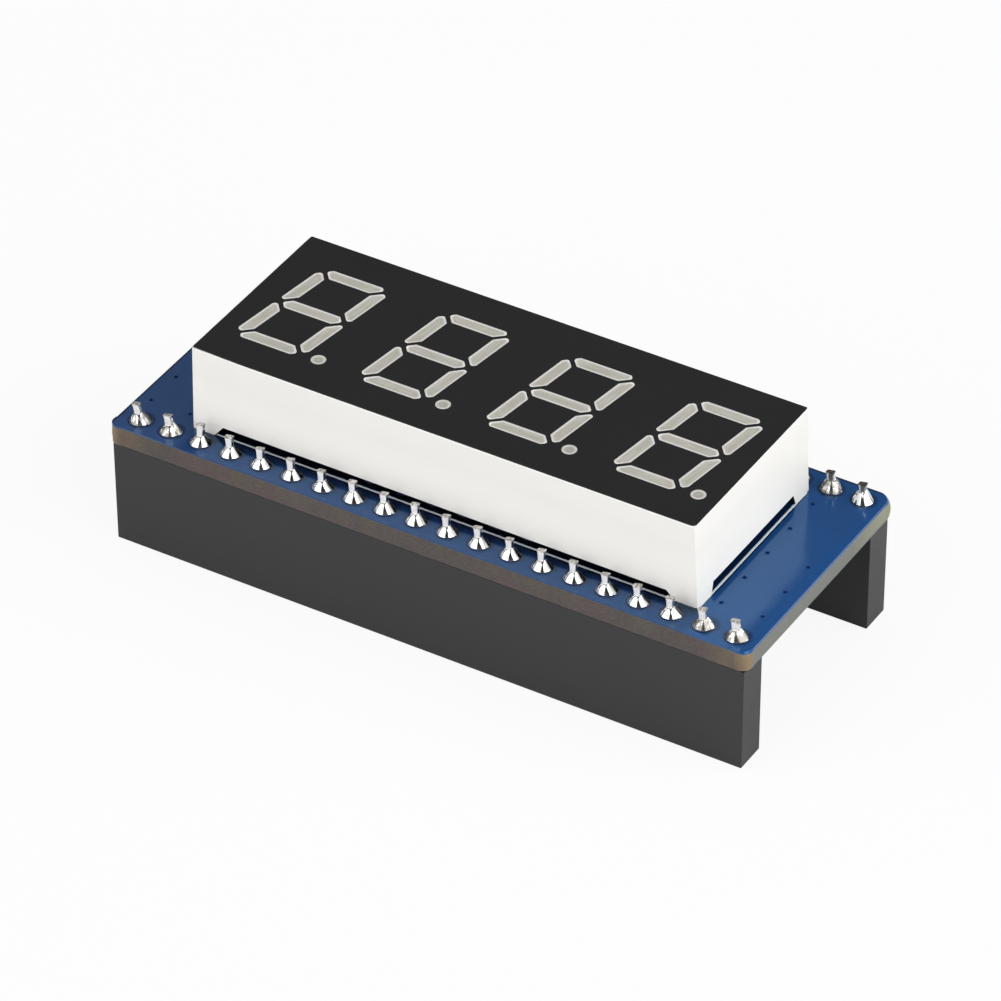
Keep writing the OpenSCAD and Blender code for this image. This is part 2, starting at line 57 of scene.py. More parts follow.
boardLow, boardHigh = boxOf("circuit_board")
_, padHigh = boxOf("socket_pads")
faceLow, faceHigh = boxOf("display_face")
housingLow, housingHigh = boxOf("display_housing")
resinLow, resinHigh = boxOf("display_resin")
solderLow, solderHigh = boxOf("front_tail_solder")
_, contactHigh = boxOf("front_strip_contacts")
stripLow, stripHigh = boxOf("front_strip_housing")
rowY = -(stripLow[1] + stripHigh[1]) / 2  # distance of both rows from the middle
socketCount = 20
coneReach = (solderHigh[1] - solderLow[1]) / 2
socketX = np.linspace(solderLow[0] + coneReach, solderHigh[0] - coneReach, socketCount)
socketPitch = socketX[1] - socketX[0]
displayY = (faceLow[1] + faceHigh[1]) / 2
boardTop = boardHigh[2]
padTop = padHigh[2]


# Shader maths

class Wire:
    # a socket, with operators that add Math nodes
    def __init__(self, tree, socket):
        self.tree = tree
        self.socket = socket

    def math(self, operation, *others, clamp=False):
        return self.tree.add("ShaderNodeMath", dict(operation=operation, use_clamp=clamp),
                             dict(enumerate((self,) + others)))

    def __add__(self, other): return self.math("ADD", other)
    def __radd__(self, other): return self.math("ADD", other)
    def __mul__(self, other): return self.math("MULTIPLY", other)
    def __rmul__(self, other): return self.math("MULTIPLY", other)
    def __sub__(self, other): return self.math("SUBTRACT", other)
    def __truediv__(self, other): return self.math("DIVIDE", other)
    def __neg__(self): return self.math("MULTIPLY", -1.0)

    def __rsub__(self, other): return self.after("SUBTRACT", other)
    def __rtruediv__(self, other): return self.after("DIVIDE", other)

    def after(self, operation, other):
        return self.tree.add("ShaderNodeMath", dict(operation=operation), {0: other, 1: self})

    def size(self): return self.math("ABSOLUTE")
    def least(self, other): return self.math("MINIMUM", other)
    def most(self, other): return self.math("MAXIMUM", other)
    def share(self): return self.math("ADD", 0.0, clamp=True)
    def reach(self, other): return (self * self + other * other).math("SQRT")

    # 1 where the value is above the edge, turning over the given width
    def above(self, edge, width): return ((self - edge) / width + 0.5).share()
    def below(self, edge, width): return ((edge - self) / width + 0.5).share()

    # place along a socket row, from -0.5 to 0.5 about each tail, and the distance to the nearest tail
    def cell(self): return ((self - socketX[0]) / socketPitch + 0.5).math("FRACT") - 0.5
    def nearest(self): return self.cell().size() * socketPitch


class Tree:
    # a node tree: add makes any node, its settings first, then the values or links of its sockets
    def __init__(self, tree):
        self.tree = tree

    def add(self, kind, settings=None, sockets=None, out=0):
        node = self.tree.nodes.new(kind)
        for key, value in (settings or {}).items():
            if key == "stops":
                elements = node.color_ramp.elements
                while len(elements) < len(value):
                    elements.new(0.5)
                for element, (place, colour) in zip(elements, value):
                    element.position = place
                    element.color = (*colour, 1)
            else:
                setattr(node, key, value)
        for key, value in (sockets or {}).items():
            self.feed(node.inputs[key], value)
        return Wire(self, node.outputs[out]) if node.outputs else node

    def feed(self, socket, value):
        if isinstance(value, Wire):
            self.tree.links.new(value.socket, socket)
        elif isinstance(value, tuple) and len(value) == 3 and len(socket.default_value) == 4:
            socket.default_value = (*value, 1)
        else:
            socket.default_value = value


class Paint(Tree):
    # a material with one Principled shader
    def __init__(self, name):
        self.material = bpy.data.materials.new(name)
        self.material.use_nodes = True
        super().__init__(self.material.node_tree)
        self.tree.nodes.clear()
        self.shader = self.add("ShaderNodeBsdfPrincipled")
        self.output = self.add("ShaderNodeOutputMaterial", sockets={"Surface": self.shader})

    def shade(self, **values):
        for key, value in values.items():
            self.feed(self.shader.socket.node.inputs[key.replace("_", " ")], value)

    @cached_property
    def spot(self):  # Object coordinates in millimetres
        place = self.add("ShaderNodeTexCoord", out=3)
        return self.add("ShaderNodeVectorMath", dict(operation="SCALE"), {0: place, 3: 1 / mm})

    @cached_property
    def xyz(self): return self.parts(self.spot)

    @cached_property
    def normal(self): return self.parts(self.add("ShaderNodeNewGeometry", out=1))

    def parts(self, vector):
        node = self.add("ShaderNodeSeparateXYZ", sockets={0: vector}).socket.node
        return [Wire(self, output) for output in node.outputs]

    # a scale of three values stretches the pattern
    def noise(self, scale, detail=3.0, rough=0.5, spot=None):
        spot = spot or self.spot
        if isinstance(scale, tuple):
            spot = self.add("ShaderNodeVectorMath", dict(operation="MULTIPLY"), {0: spot, 1: scale})
            scale = 1.0
        return self.add("ShaderNodeTexNoise", sockets={"Vector": spot, "Scale": scale, "Detail": detail,
                                                      "Roughness": rough})

    # each coat is a share and the colour that it lays over those before it
    def coats(self, colour, *coats):
        for share, over in coats:
            colour = self.add("ShaderNodeMix", dict(data_type="RGBA", clamp_factor=True),
                              {0: share, 6: colour, 7: over}, out=2)
        return colour

    def ramp(self, value, *stops):
        return self.add("ShaderNodeValToRGB", dict(stops=stops), {0: value})

    def mark(self, name):
        return self.add("ShaderNodeAttribute", dict(attribute_name=name), out=2)

    # heights are in millimetres
    def bump(self, height):
        return self.add("ShaderNodeBump", sockets={"Strength": 1.0, "Distance": mm, "Height": height})


finishes = {}


def finish(key, name):
    # the function below takes the paint and gives the values of its shader
    def make(shading):
        paint = Paint(name)
        paint.shade(**shading(paint))
        finishes[key] = paint.material
        return shading
    return make


# Blue lacquered laminate. The long edges are routed and brown, the short ones snapped and pale, and both show
# the layers of glass cloth
cornerRadius = 1.0
# Besides the lacquer's own colours, this holds painted shade and shadow colours for the ground in front of, under and
# beside the display and round the pads, and a greyer colour for the left end that is a painted reflection
lacquer = dict(
    plane=(0.013, 0.070, 0.232), bare=(0.009, 0.072, 0.252), deep=(0.010, 0.055, 0.195), dust=(0.10, 0.16, 0.27),
    front=(0.009, 0.040, 0.150), near=(0.010, 0.014, 0.034), left=(0.033, 0.070, 0.187), padShadow=(0.004, 0.014, 0.050),
    tint=(0.43, 0.77, 1.0), ring=(0.006, 0.010, 0.022), shadeUnderDisplay=(0.0010, 0.0025, 0.0075),
    shadeUnderDisplayEnd=(0.004, 0.018, 0.062), shadow=(0.002, 0.003, 0.007), planeEdge=0.80, ringRadius=0.845,
    padShadowRadius=0.97, padShadowShift=(0.15, 0.10), frontHalf=20.9, shadowHalf=18.6, leftEdge=-20.2, printX=20.37,
    printHalf=7.5, printShadowShift=0.15, roughness=0.12, covered=(20.24, 7.40, 9.5), coveredEnd=19.0,
)
laminate = dict(
    routed=(0.063, 0.033, 0.023), olive=(0.076, 0.052, 0.018), pink=(0.088, 0.040, 0.030),
    corner=(0.255, 0.165, 0.062), rearCorner=(0.28, 0.275, 0.175), snapped=(0.166, 0.160, 0.134),
    lip=(0.162, 0.155, 0.128), ply=(0.05, 0.042, 0.034), fibre=(0.42, 0.38, 0.30), roughness=0.6, plies=9,
    turns=(("corner", 0.42, 0.66), ("rearCorner", 0.35, 0.8)),
)


def lacquerColours(paint):
    # paler near the board's ends where no copper lies under it. Painted shade dims it in front of the display,
    # darkens it close to the display and makes it nearly black along the front wall; a painted shadow lies round each
    # pad, shifted to the right and towards the board's middle, and beside the right print line; the rear and left
    # edges get a thin painted dark reflection, and the left end is painted greyer, a painted reflection
    look = lacquer
    x, y, _ = paint.xyz
    cloud = paint.noise(0.35, 2.0)
    speck = paint.noise(9.0, 2.0)
    drift = paint.noise(0.9, 2.0)
    endGap = (boardHigh[0] - x.size()).least(boardHigh[1] - y.size()) + (drift - 0.5) * 0.7
    rowGap = y.size() - rowY
    shiftX, shiftY = look["padShadowShift"]
    padShadow = (x - shiftX).nearest().reach(rowGap + shiftY).below(look["padShadowRadius"], 0.2)
    away = housingLow[1] - y
    front = x.size().below(look["frontHalf"], 1.2) * away.above(0.0, 0.05)
    shadow = x.size().below(look["shadowHalf"], 0.4) * away.below(0.14, 0.1) * y.below(0.0, 1.0)
    rims = y.above(boardHigh[1] - 0.19, 0.1).most(x.below(boardLow[0] + 0.15, 0.1))
    beside = (x - look["printX"] - look["printShadowShift"]).size().below(0.06, 0.06)
    beside = beside * y.size().below(look["printHalf"], 0.2)
    plane = endGap.above(look["planeEdge"], 0.2)
    # the six coats after the cloud are painted: shade in front of and close to the display, shadow along the front
    # wall, a greyer left end as a painted reflection, dark lines on the rear and left edges and beside the print, and
    # shadow round the pads
    blue = paint.coats(
        look["bare"], (plane, look["plane"]), (cloud * 0.5, look["deep"]), (front, look["front"]),
        (front * away.below(0.62, 0.8), look["near"]), (shadow, look["shadow"]),
        (x.below(look["leftEdge"], 0.8) * 0.9, look["left"]), (rims.most(beside) * 0.8, look["near"]),
        (padShadow * 0.72, look["padShadow"]), (drift.above(0.56, 0.2) * 0.12, look["deep"]),
        (speck.above(0.68, 0.1) * 0.10, look["dust"]))
    return blue, x.nearest().reach(rowGap), cloud, cloud * 0.02 + speck * 0.0010 + plane * 0.010


@finish("board", "blueBoard")
def boardPaint(paint):
    x, y, z = paint.xyz
    blue, padGap, cloud, ripple = lacquerColours(paint)
    # painted shade: the ground under the display is made nearly black, and dark navy towards the display's ends
    reachX, reachY, reachZ = lacquer["covered"]
    covered = x.size().below(reachX, 0.06) * (y - displayY).size().below(reachY, 0.06)
    ground = paint.coats(lacquer["shadeUnderDisplay"], (x.size().above(lacquer["coveredEnd"], 0.8), lacquer["shadeUnderDisplayEnd"]))
    top = paint.coats(blue, (covered * z.above(reachZ, 0.1), ground),
                      (padGap.below(lacquer["ringRadius"], 0.05), lacquer["ring"]))
    # the edge: how far round it faces the end, from the rounded corners' own turn
    cornerX = (x.size() - (boardHigh[0] - cornerRadius)).most(0.0)
    cornerY = (y.size() - (boardHigh[1] - cornerRadius)).most(0.0)
    facing = cornerX / (cornerX + cornerY + 0.001)
    atEnd = facing.above(0.8, 0.2)
    level = (z - boardLow[2]) / (boardTop - boardLow[2])
    fibre = paint.noise((3.2, 3.2, 16.0), 4.0, 0.6)
    bundle = paint.noise((0.7, 0.7, 0.2), 2.0)
    tone = paint.noise((0.42, 0.42, 0.3), 2.0)
    ply = (level * laminate["plies"]).math("FRACT").above(0.72, 0.3)
    nearEnd = x.size().above(boardHigh[0] - 2.0, 3.2) * facing.below(0.3, 0.5)
    front, rear = (paint.ramp(facing, (0.0, laminate["routed"]), (start, laminate[key]), (end, laminate[key]),
                              (1.0, laminate["snapped"])) for key, start, end in laminate["turns"])
    edge = paint.coats(
        front, (y.above(0.0, 2.0), rear), (atEnd * y.above(7.0, 5.0), laminate["rearCorner"]),
        (nearEnd * (bundle * 0.9 + 0.1), laminate["corner"]),
        (tone.above(0.54, 0.16) * 0.5 * facing.below(0.4, 0.4), laminate["pink"]), (ply * 0.14, laminate["ply"]),
        (bundle.above(0.56, 0.16) * level.above(0.35, 0.7) * 0.6 * (1 - facing), laminate["olive"]),
        (fibre.above(0.55, 0.4) * 0.16, laminate["fibre"]), (level.below(0.09, 0.05) * atEnd, laminate["lip"]))
    # the lacquer runs over the rim
    side = paint.normal[2].size().below(0.85, 0.1) * (level + facing * 0.10).below(0.935, 0.05)
    rough = side * (laminate["roughness"] - lacquer["roughness"]) + lacquer["roughness"] + cloud * 0.05
    grain = fibre * 0.014 + ply * 0.012
    return dict(Base_Color=paint.coats(top, (side, edge)), Roughness=rough,
                Normal=paint.bump(ripple * (1 - side) + grain * side), IOR=1.65, Specular_Tint=lacquer["tint"])


# Black moulded plastic of the socket strips, with a fine eroded grain and faint scuffs, and painted shade on the
# faces inside the rows
stripPlastic = dict(colour=(0.0125, 0.0125, 0.0135), flow=(0.019, 0.019, 0.020), inner=(0.0005, 0.0005, 0.0005),
                    scuff=(0.05, 0.05, 0.052), innerY=1.22)


@finish("strip", "blackStripPlastic")
def stripPaint(paint):
    look = stripPlastic
    grain = paint.noise(14.0, 3.0, 0.6)
    flow = paint.noise((0.12, 0.5, 0.5))
    scratch = paint.noise((0.6, 3.0, 9.0), 2.0).above(0.70, 0.06)
    # painted shade: the strips' inner faces, under the board, are made nearly black
    inward = paint.xyz[1].size().below(rowY - look["innerY"], 0.04)
    colour = paint.coats(look["colour"], (flow * 0.5, look["flow"]), (inward, look["inner"]),
                         (scratch * 0.10, look["scuff"]))
    return dict(Base_Color=colour, Roughness=grain * 0.12 + flow * 0.08 + 0.30,
                Normal=paint.bump(grain * 0.004 + flow * 0.01), IOR=1.5)


# White moulded plastic of the display's housing, with painted light, painted shade and painted highlights laid on its
# colour below
housingPlastic = dict(
    colour=(0.865, 0.85, 0.81), shade=(0.835, 0.815, 0.77), low=(0.985, 0.966, 0.92), rim=(0.97, 0.965, 0.95),
    far=(0.815, 0.80, 0.755), pointRim=(0.66, 0.65, 0.61), under=(0.008, 0.008, 0.010),
)
# the openings between the feet: half their length and depth, their height, and how their upper edge is fitted
opening = dict(halfX=18.3, halfY=5.6, high=0.8, left=18.5, fall=0.0042, front=0.01, right=0.095, line=0.03)


def openingFall(x):
    # the upper edge of the front opening falls to the right
    return (x + opening["left"]) * opening["fall"]


@finish("housing", "whiteHousingPlastic")
def housingPaint(paint):
    look = housingPlastic
    x, y, z = paint.xyz
    grain = paint.noise(10.0)
    flow = paint.noise((0.15, 0.3, 0.6), 2.0)
    # painted shade: faces turned downwards near the bottom, in the openings between the feet, are made nearly black
    under = paint.normal[2].below(-0.12, 0.1) * z.below(housingLow[2] + 1.2, 0.1)
    # painted highlight: a bright line follows the openings' upper edge, and another the top edge
    within = x.size().below(opening["halfX"], 0.1).most((y - displayY).size().below(opening["halfY"], 0.1))
    falling = y.below(housingLow[1] + 0.5, 0.1) * (opening["front"] + opening["right"] + openingFall(x))
    line = z - housingLow[2] - (opening["high"] + opening["right"] + opening["line"]) + falling
    rims = (line.size().below(0.05, 0.05) * within).most(z.above(housingHigh[2] - 0.12, 0.08))
    # painted light makes the housing paler towards its bottom, and painted shade darkens the rear part of its right
    # end
    colour = paint.coats(
        look["colour"], (flow.above(0.5, 0.6) * 0.45, look["shade"]),
        (z.below(housingLow[2] + 2.9, 3.6) * 0.9, look["low"]),
        (x.above(19.0, 0.2) * y.above(4.0, 5.0) * 0.8, look["far"]), (rims * 0.8, look["rim"]),
        (paint.mark("point"), look["pointRim"]), (under, look["under"]))
    return dict(Base_Color=colour, Roughness=grain * 0.1 + 0.37,
                Normal=paint.bump(grain * 0.002 + flow * 0.02), IOR=1.46)


# Black matt layer on the display's face
faceLayer = dict(colour=(0.0165, 0.0165, 0.0170), worn=(0.0200, 0.0195, 0.0190), dust=(0.2, 0.2, 0.19))


@finish("face", "blackFaceLayer")
def facePaint(paint):
    grain = paint.noise(22.0, 2.0, 0.6)
    cloud = paint.noise(0.22)
    dust = paint.noise(6.0, 2.0).above(0.71, 0.04)
    colour = paint.coats(faceLayer["colour"], (cloud.above(0.5, 0.5) * 0.5, faceLayer["worn"]),
                         (dust * 0.06, faceLayer["dust"]))
    return dict(Base_Color=colour, Roughness=grain * 0.12 + cloud * 0.06 + 0.49,
                Normal=paint.bump(grain * 0.0018), IOR=1.3)


# Milky cast resin of the segments: grey in the middle, brighter along the white wall of its well
resinLook = dict(middle=(0.50, 0.48, 0.42), edge=(0.76, 0.745, 0.70), streak=(0.61, 0.59, 0.53),
                 warm=(0.565, 0.505, 0.45), green=(0.47, 0.475, 0.385), deep=(0.33, 0.325, 0.30),
                 light=(0.62, 0.605, 0.55), dark=(0.40, 0.38, 0.33), line=(8.0, 0.6))


@finish("resin", "milkyResin")
def resinPaint(paint):
    look = resinLook
    depth = paint.mark("depth")  # millimetres from the well's wall
    cloud = paint.noise(0.9)
    speck = paint.noise(16.0, 2.0, 0.7)
    cast = paint.noise(1.3)
    x, y, _ = paint.xyz
    close, along = look["line"]  # streaks follow the wall: fine across it and long beside it
    spot = paint.add("ShaderNodeCombineXYZ", None, {0: depth * close, 1: x * along, 2: y * along})
    lines = paint.noise(1.0, 2.0, spot=spot)
    colour = paint.coats(
        look["middle"], (cloud * 0.8, look["streak"]), (cast.above(0.52, 0.2) * 0.5, look["warm"]),
        (cast.below(0.46, 0.2) * 0.5, look["green"]), (depth.above(0.55, 0.1) * 0.6, look["deep"]),
        (speck.above(0.62, 0.2) * 0.22, look["dark"]), (lines.above(0.54, 0.12) * 0.45, look["light"]),
        (lines.below(0.46, 0.12) * 0.25, look["dark"]), (depth.below(0.06, 0.10), look["edge"]))
    return dict(Base_Color=colour, Roughness=speck * 0.14 + 0.19,
                Normal=paint.bump(speck * 0.0012 + cloud * 0.006), IOR=1.5)


# Metals. Tinned sheet is brushed along the tail, and bare and brown where it was sheared off
sheetMetal = dict(colour=(0.90, 0.885, 0.87), bare=(0.84, 0.82, 0.78), cut=(0.16, 0.125, 0.095),
                  stain=(0.5, 0.46, 0.40), tarnish=(0.032, 0.022, 0.013), frostUp=0.4)


def tailTones(paint, rear):
    # all sides but the one that faces the board's right end, a slow drift, and the tarnish of the rear row: brown
    # on the right half of each front face
    plain = 1 - paint.normal[0].above(0.6, 0.3)
    drift = paint.noise(0.3, 2.0)
    brown = rear * paint.xyz[0].cell().above(-0.035, 0.03) * plain * paint.normal[1].below(0.2, 0.5)
    return plain, drift, brown * (1.0 - drift * 0.3)


@finish("sheet", "tinnedSpringSheet")
def sheetPaint(paint):
    look = sheetMetal
    _, y, z = paint.xyz
    brush = paint.noise((14.0, 14.0, 1.2))
    cut = paint.mark("cut")
    stain = paint.noise(6.0)
    rear = y.above(0.0, 0.1) * z.above(boardTop, 0.1)
    plain, drift, brown = tailTones(paint, rear)
    frosty = z.above(boardTop + look["frostUp"], 0.2) * plain
    bare = paint.coats(look["bare"], (stain.above(0.5, 0.25) * (drift * 0.9 + 0.35).share(), look["cut"]))
    colour = paint.coats(look["colour"], (stain.above(0.6, 0.2) * 0.35, look["stain"]), (cut, bare),
                         (brown.most(rear * cut * 0.8), look["tarnish"]))
    return dict(Base_Color=colour, Metallic=1.0 - frosty * (1 - cut) * 0.75 - cut * 0.25,
                Roughness=brush * 0.16 + 0.22 + cut * 0.26, Normal=paint.bump(brush * 0.0015 + stain * cut * 0.02))


# Solder: mirror bright on the cones, frosty on the thin skin up the tails
solderLook = dict(colour=(0.90, 0.90, 0.905), dull=(0.76, 0.755, 0.74), skin=(0.93, 0.915, 0.905),
                  stain=(0.55, 0.50, 0.44), flank=(0.10, 0.105, 0.115), brown=(0.22, 0.20, 0.165))


@finish("solder", "brightSolder")
def solderPaint(paint):
    look = solderLook
    frost = paint.noise(7.0, 4.0, 0.6)
    wave = paint.noise(2.2, 2.0)
    skin = paint.mark("skin")
    plain, _, brown = tailTones(paint, paint.xyz[1].above(0.0, 0.1))
    frosty = skin * plain
    patch = paint.noise((3.6, 3.6, 1.3)).above(0.47, 0.1) * paint.mark("mottle")
    # painted shade: the flank mark darkens the drawn up side of the front row's cones, in place of a dark reflection
    cone = paint.coats(look["colour"], (frost.above(0.56, 0.3) * 0.5, look["dull"]),
                       (paint.mark("flank") * (frost * 0.5 + 0.7).share(), look["flank"]), (patch, look["brown"]))
    post = paint.coats(look["skin"], (frost.above(0.6, 0.2) * 0.4, look["stain"]), (brown, sheetMetal["tarnish"]))
    return dict(Base_Color=paint.coats(cone, (skin, post)), Metallic=1.0 - frosty * 0.75,
                Roughness=frost * 0.10 + frosty * 0.30 + patch * 0.16 + 0.06,
                Normal=paint.bump(frost * 0.0005 + wave * 0.005))


padLook = dict(colour=(0.70, 0.70, 0.69), dull=(0.42, 0.40, 0.37), fluxAndShadow=(0.006, 0.014, 0.042),
               thin=(0.010, 0.036, 0.125), fluxShadowRadius=0.715)


@finish("pad", "tinnedCopper")
def padPaint(paint):
    # the rim of each soldered pad is dark with flux and painted shadow; on the front row the painted shadow is
    # lighter towards each pad's front left
    look = padLook
    x, y, z = paint.xyz
    rim = x.nearest().reach(y.size() - rowY).above(look["fluxShadowRadius"], 0.03) * z.above(boardTop, 0.02)
    fluxAndShadow = paint.coats(look["fluxAndShadow"], ((-(y + rowY) - x.cell() * socketPitch * 0.6).above(0.15, 0.4), look["thin"]))
    frost = paint.noise(11.0, 4.0, 0.6)
    return dict(Base_Color=paint.coats(look["dull"], (frost, look["colour"]), (rim, fluxAndShadow)),
                Metallic=1.0 - rim * 0.9, Roughness=frost * 0.2 + 0.24, Normal=paint.bump(frost * 0.004))


@finish("wire", "tinnedWire")
def wirePaint(paint):
    # round tinned wire, drawn lengthwise
    draw = paint.noise((22.0, 22.0, 0.8))
    colour = paint.coats((0.80, 0.79, 0.77), (paint.noise(1.6) * 0.6, (0.55, 0.52, 0.47)))
    return dict(Base_Color=colour, Metallic=1.0, Roughness=draw * 0.16 + 0.2, Normal=paint.bump(draw * 0.005))


# Plain looks: a grain mixes two colours, roughens the surface and gives it relief
plainLooks = dict(
    lead=dict(name="tinnedLeads", grain=(8.0, 4.0, 0.6), share=0.7, colours=((0.74, 0.74, 0.73), (0.50, 0.49, 0.47)),
              metallic=1.0, rough=(0.18, 0.27), relief=0.006),
    end=dict(name="dippedEnds", grain=(12.0, 4.0, 0.6), share=1.0, colours=((0.60, 0.60, 0.59), (0.82, 0.82, 0.81)),
             metallic=1.0, rough=(0.2, 0.26), relief=0.01),
    crystal=dict(name="lightCrystal", grain=(30.0, 2.0), share=1.0, colours=((0.30, 0.06, 0.03), (0.52, 0.16, 0.08)),
                 metallic=0.0, rough=(0.1, 0.16), relief=0.002, ior=2.2),
)
for key, look in plainLooks.items():
    @finish(key, look["name"])
    def plainPaint(paint):
        grain = paint.noise(*look["grain"])
        first, second = look["colours"]
        return dict(Base_Color=paint.coats(first, (grain * look["share"], second)), Metallic=look["metallic"],
                    Roughness=grain * look["rough"][0] + look["rough"][1], Normal=paint.bump(grain * look["relief"]),
                    IOR=look.get("ior", 1.5))


chipLow, chipHigh = boxOf("left_register_body")
chipSeam = (chipLow[2] + chipHigh[2]) / 2


@finish("chip", "chipMouldingCompound")
def chipPaint(paint):
    # black moulding compound: fine filler grains, and a smoother band where the mould closed
    grain = paint.noise(26.0, 3.0, 0.7)
    seam = (paint.xyz[2] - chipSeam).size().below(0.05, 0.03)
    share = grain * 0.6 + paint.noise(0.5, 2.0) * 0.2
    return dict(Base_Color=paint.coats((0.0095, 0.0095, 0.010), (share, (0.028, 0.028, 0.029))),
                Roughness=grain * 0.2 + 0.5 - seam * 0.12, Normal=paint.bump(grain * 0.006 + seam * 0.02), IOR=1.5)


@finish("resistor", "resistorCeramic")
def resistorPaint(paint):
    # the printed face is black glaze and the sides are white ceramic
    grain = paint.noise(18.0)
    glaze = paint.xyz[2].below(boxOf("resistor_bodies")[0][2] + 0.06, 0.03)
    black = paint.coats((0.010, 0.010, 0.011), (grain, (0.030, 0.030, 0.031)))
    colour = paint.coats((0.62, 0.61, 0.58), (grain, (0.74, 0.73, 0.70)), (glaze, black))
    return dict(Base_Color=colour, Roughness=0.62 - glaze * 0.3 + grain * 0.08, Normal=paint.bump(grain * 0.004))


@finish("capacitor", "capacitorCeramic")
def capacitorPaint(paint):
    grain = paint.noise(15.0, 4.0, 0.65)
    share = grain * 0.7 + paint.noise((1.0, 1.0, 9.0), 2.0) * 0.3
    return dict(Base_Color=paint.coats((0.29, 0.195, 0.115), (share, (0.44, 0.32, 0.20))),
                Roughness=grain * 0.2 + 0.42, Normal=paint.bump(grain * 0.005))


@finish("carrier", "carrierLaminate")
def carrierPaint(paint):
    # pale laminate with its weave showing through
    x, y, _ = paint.xyz
    weave = (x * 8.0).math("SINE") * (y * 8.0).math("SINE")
    grain = paint.noise(5.0)
    share = grain * 0.5 + weave * 0.15 + 0.2
    return dict(Base_Color=paint.coats((0.62, 0.58, 0.36), (share, (0.72, 0.68, 0.50))),
                Roughness=grain * 0.2 + 0.45, Normal=paint.bump(weave * 0.01))


# White ink, slightly chalky, and painted darker and bluer along the board's long sides, a painted shade
ink = dict(full=(0.92, 0.99, 1.0), chalk=(0.84, 0.93, 0.99), thin=(0.235, 0.265, 0.385), shadedHalf=20.1)


@finish("print", "whitePrint")
def printPaint(paint):
    grain = paint.noise(12.0, 3.0, 0.7)
    # painted shade: the ink along the long sides is darkened
    thin = paint.xyz[0].size().below(ink["shadedHalf"], 0.15)
    colour = paint.coats(ink["full"], (grain.above(0.6, 0.2) * 0.3, ink["chalk"]),
                         (thin * (0.28 + grain * 0.2), ink["thin"]))
    return dict(Base_Color=colour, Roughness=grain * 0.2 + 0.42, Normal=paint.bump(grain * 0.004))


@finish("plug", "pluggedHoleLacquer")
def plugPaint(paint):
    # lacquer drawn into a plated hole: a low ring round a pit that is painted dark, a painted shade in place of a
    # real hole
    pit = paint.mark("pit")
    return dict(Base_Color=paint.coats(lacquerColours(paint)[0], (pit, (0.001, 0.007, 0.045))),
                Roughness=0.12 + pit * 0.5, Normal=paint.bump(paint.noise(9.0, 2.0) * 0.002), IOR=1.2)


print("finishes made:", len(finishes))


# Mesh helpers. Every shape is a grid of copies x rows x columns x 3 in millimetres

square = np.array([(-1, -1), (1, -1), (1, 1), (-1, 1)])
merging = dict(grid=2e-8, solid=1e-7)  # metres


def turns(count):
    return np.arange(count) / count * 2 * np.pi


def circle(count):
    return np.stack([np.cos(turns(count)), np.sin(turns(count))], 1)


def lifted(xy, z):
    # places in plan with their height as third value
    return np.concatenate([xy, np.broadcast_to(z, xy.shape[:-1])[..., None]], -1)


def finer(ring, steps):
    # more points along each long side, so that it can waver
    ahead = np.roll(ring, -1, 0)
    share = np.arange(steps)[None, :, None] / steps
    fine = ring[:, None] * (1 - share) + ahead[:, None] * share
    long = np.linalg.norm(ahead - ring, axis=1) > 1
    return np.concatenate([fine[i] if long[i] else ring[i:i + 1] for i in range(len(ring))])


def mend(mesh, distance, work):
    # merges doubles, then works on the faces and edges
    shape = bmesh.new()
    shape.from_mesh(mesh)
    bmesh.ops.remove_doubles(shape, verts=shape.verts, dist=distance)
    work(shape)
    shape.to_mesh(mesh)
    shape.free()


def faceOut(shape):
    bmesh.ops.recalc_face_normals(shape, faces=shape.faces)


def smoothUpTo(mesh, angle):
    mesh.shade_smooth()
    mesh.set_sharp_from_angle(angle=math.radians(angle))


def flattenLevel(mesh, angle):
    # level faces keep their own normal, the others are smoothed up to the given angle
    smoothUpTo(mesh, angle)
    normals = np.empty(len(mesh.polygons) * 3, np.float32)
    mesh.polygons.foreach_get("normal", normals)
    mesh.polygons.foreach_set("use_smooth", np.abs(normals.reshape(-1, 3)[:, 2]) < 0.999)

def gridFaces(copies, rows, columns):
    # each cell joins its four corners, and the last column meets the first
    start = np.arange(rows - 1)[:, None] * columns
    column = np.arange(columns)[None]
    beside = (column + 1) % columns
    cell = np.stack([start + column, start + beside, start + columns + beside, start + columns + column],
                    -1).reshape(-1, 4)
    return (cell[None] + (np.arange(copies) * rows * columns)[:, None, None]).reshape(-1, 4)


def buildPiece(name, grids, finishKey, replaced=(), marks=None, sharp=40):
    # rows that shrink to a point or a line close a shell, and their doubles are merged
    grids = grids if isinstance(grids, list) else [grids]
    counts = np.cumsum([0] + [g.shape[0] * g.shape[1] * g.shape[2] for g in grids])
    points = np.concatenate([g.reshape(-1, 3) for g in grids]) * mm
    faces = np.concatenate([gridFaces(*g.shape[:3]) + start for g, start in zip(grids, counts)])
    mesh = bpy.data.meshes.new(name)
    mesh.from_pydata(points.tolist(), [], faces.tolist())
    for key, values in (marks or {}).items():
        layer = mesh.attributes.new(key, "FLOAT", "POINT")
        layer.data.foreach_set("value", np.concatenate([v.ravel() for v in values]).astype(np.float32))
    mend(mesh, merging["grid"], faceOut)
    smoothUpTo(mesh, sharp)
    dressPiece(bpy.data.objects.new(name, mesh), finishKey, replaced)


def coat(mesh, finishKey):
    mesh.materials.clear()
    mesh.materials.append(finishes[finishKey])


def dressPiece(piece, finishKey, replaced=()):
    bpy.context.scene.collection.objects.link(piece)
    coat(piece.data, finishKey)
    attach(piece, "root")
    if replaced:
        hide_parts(*replaced)


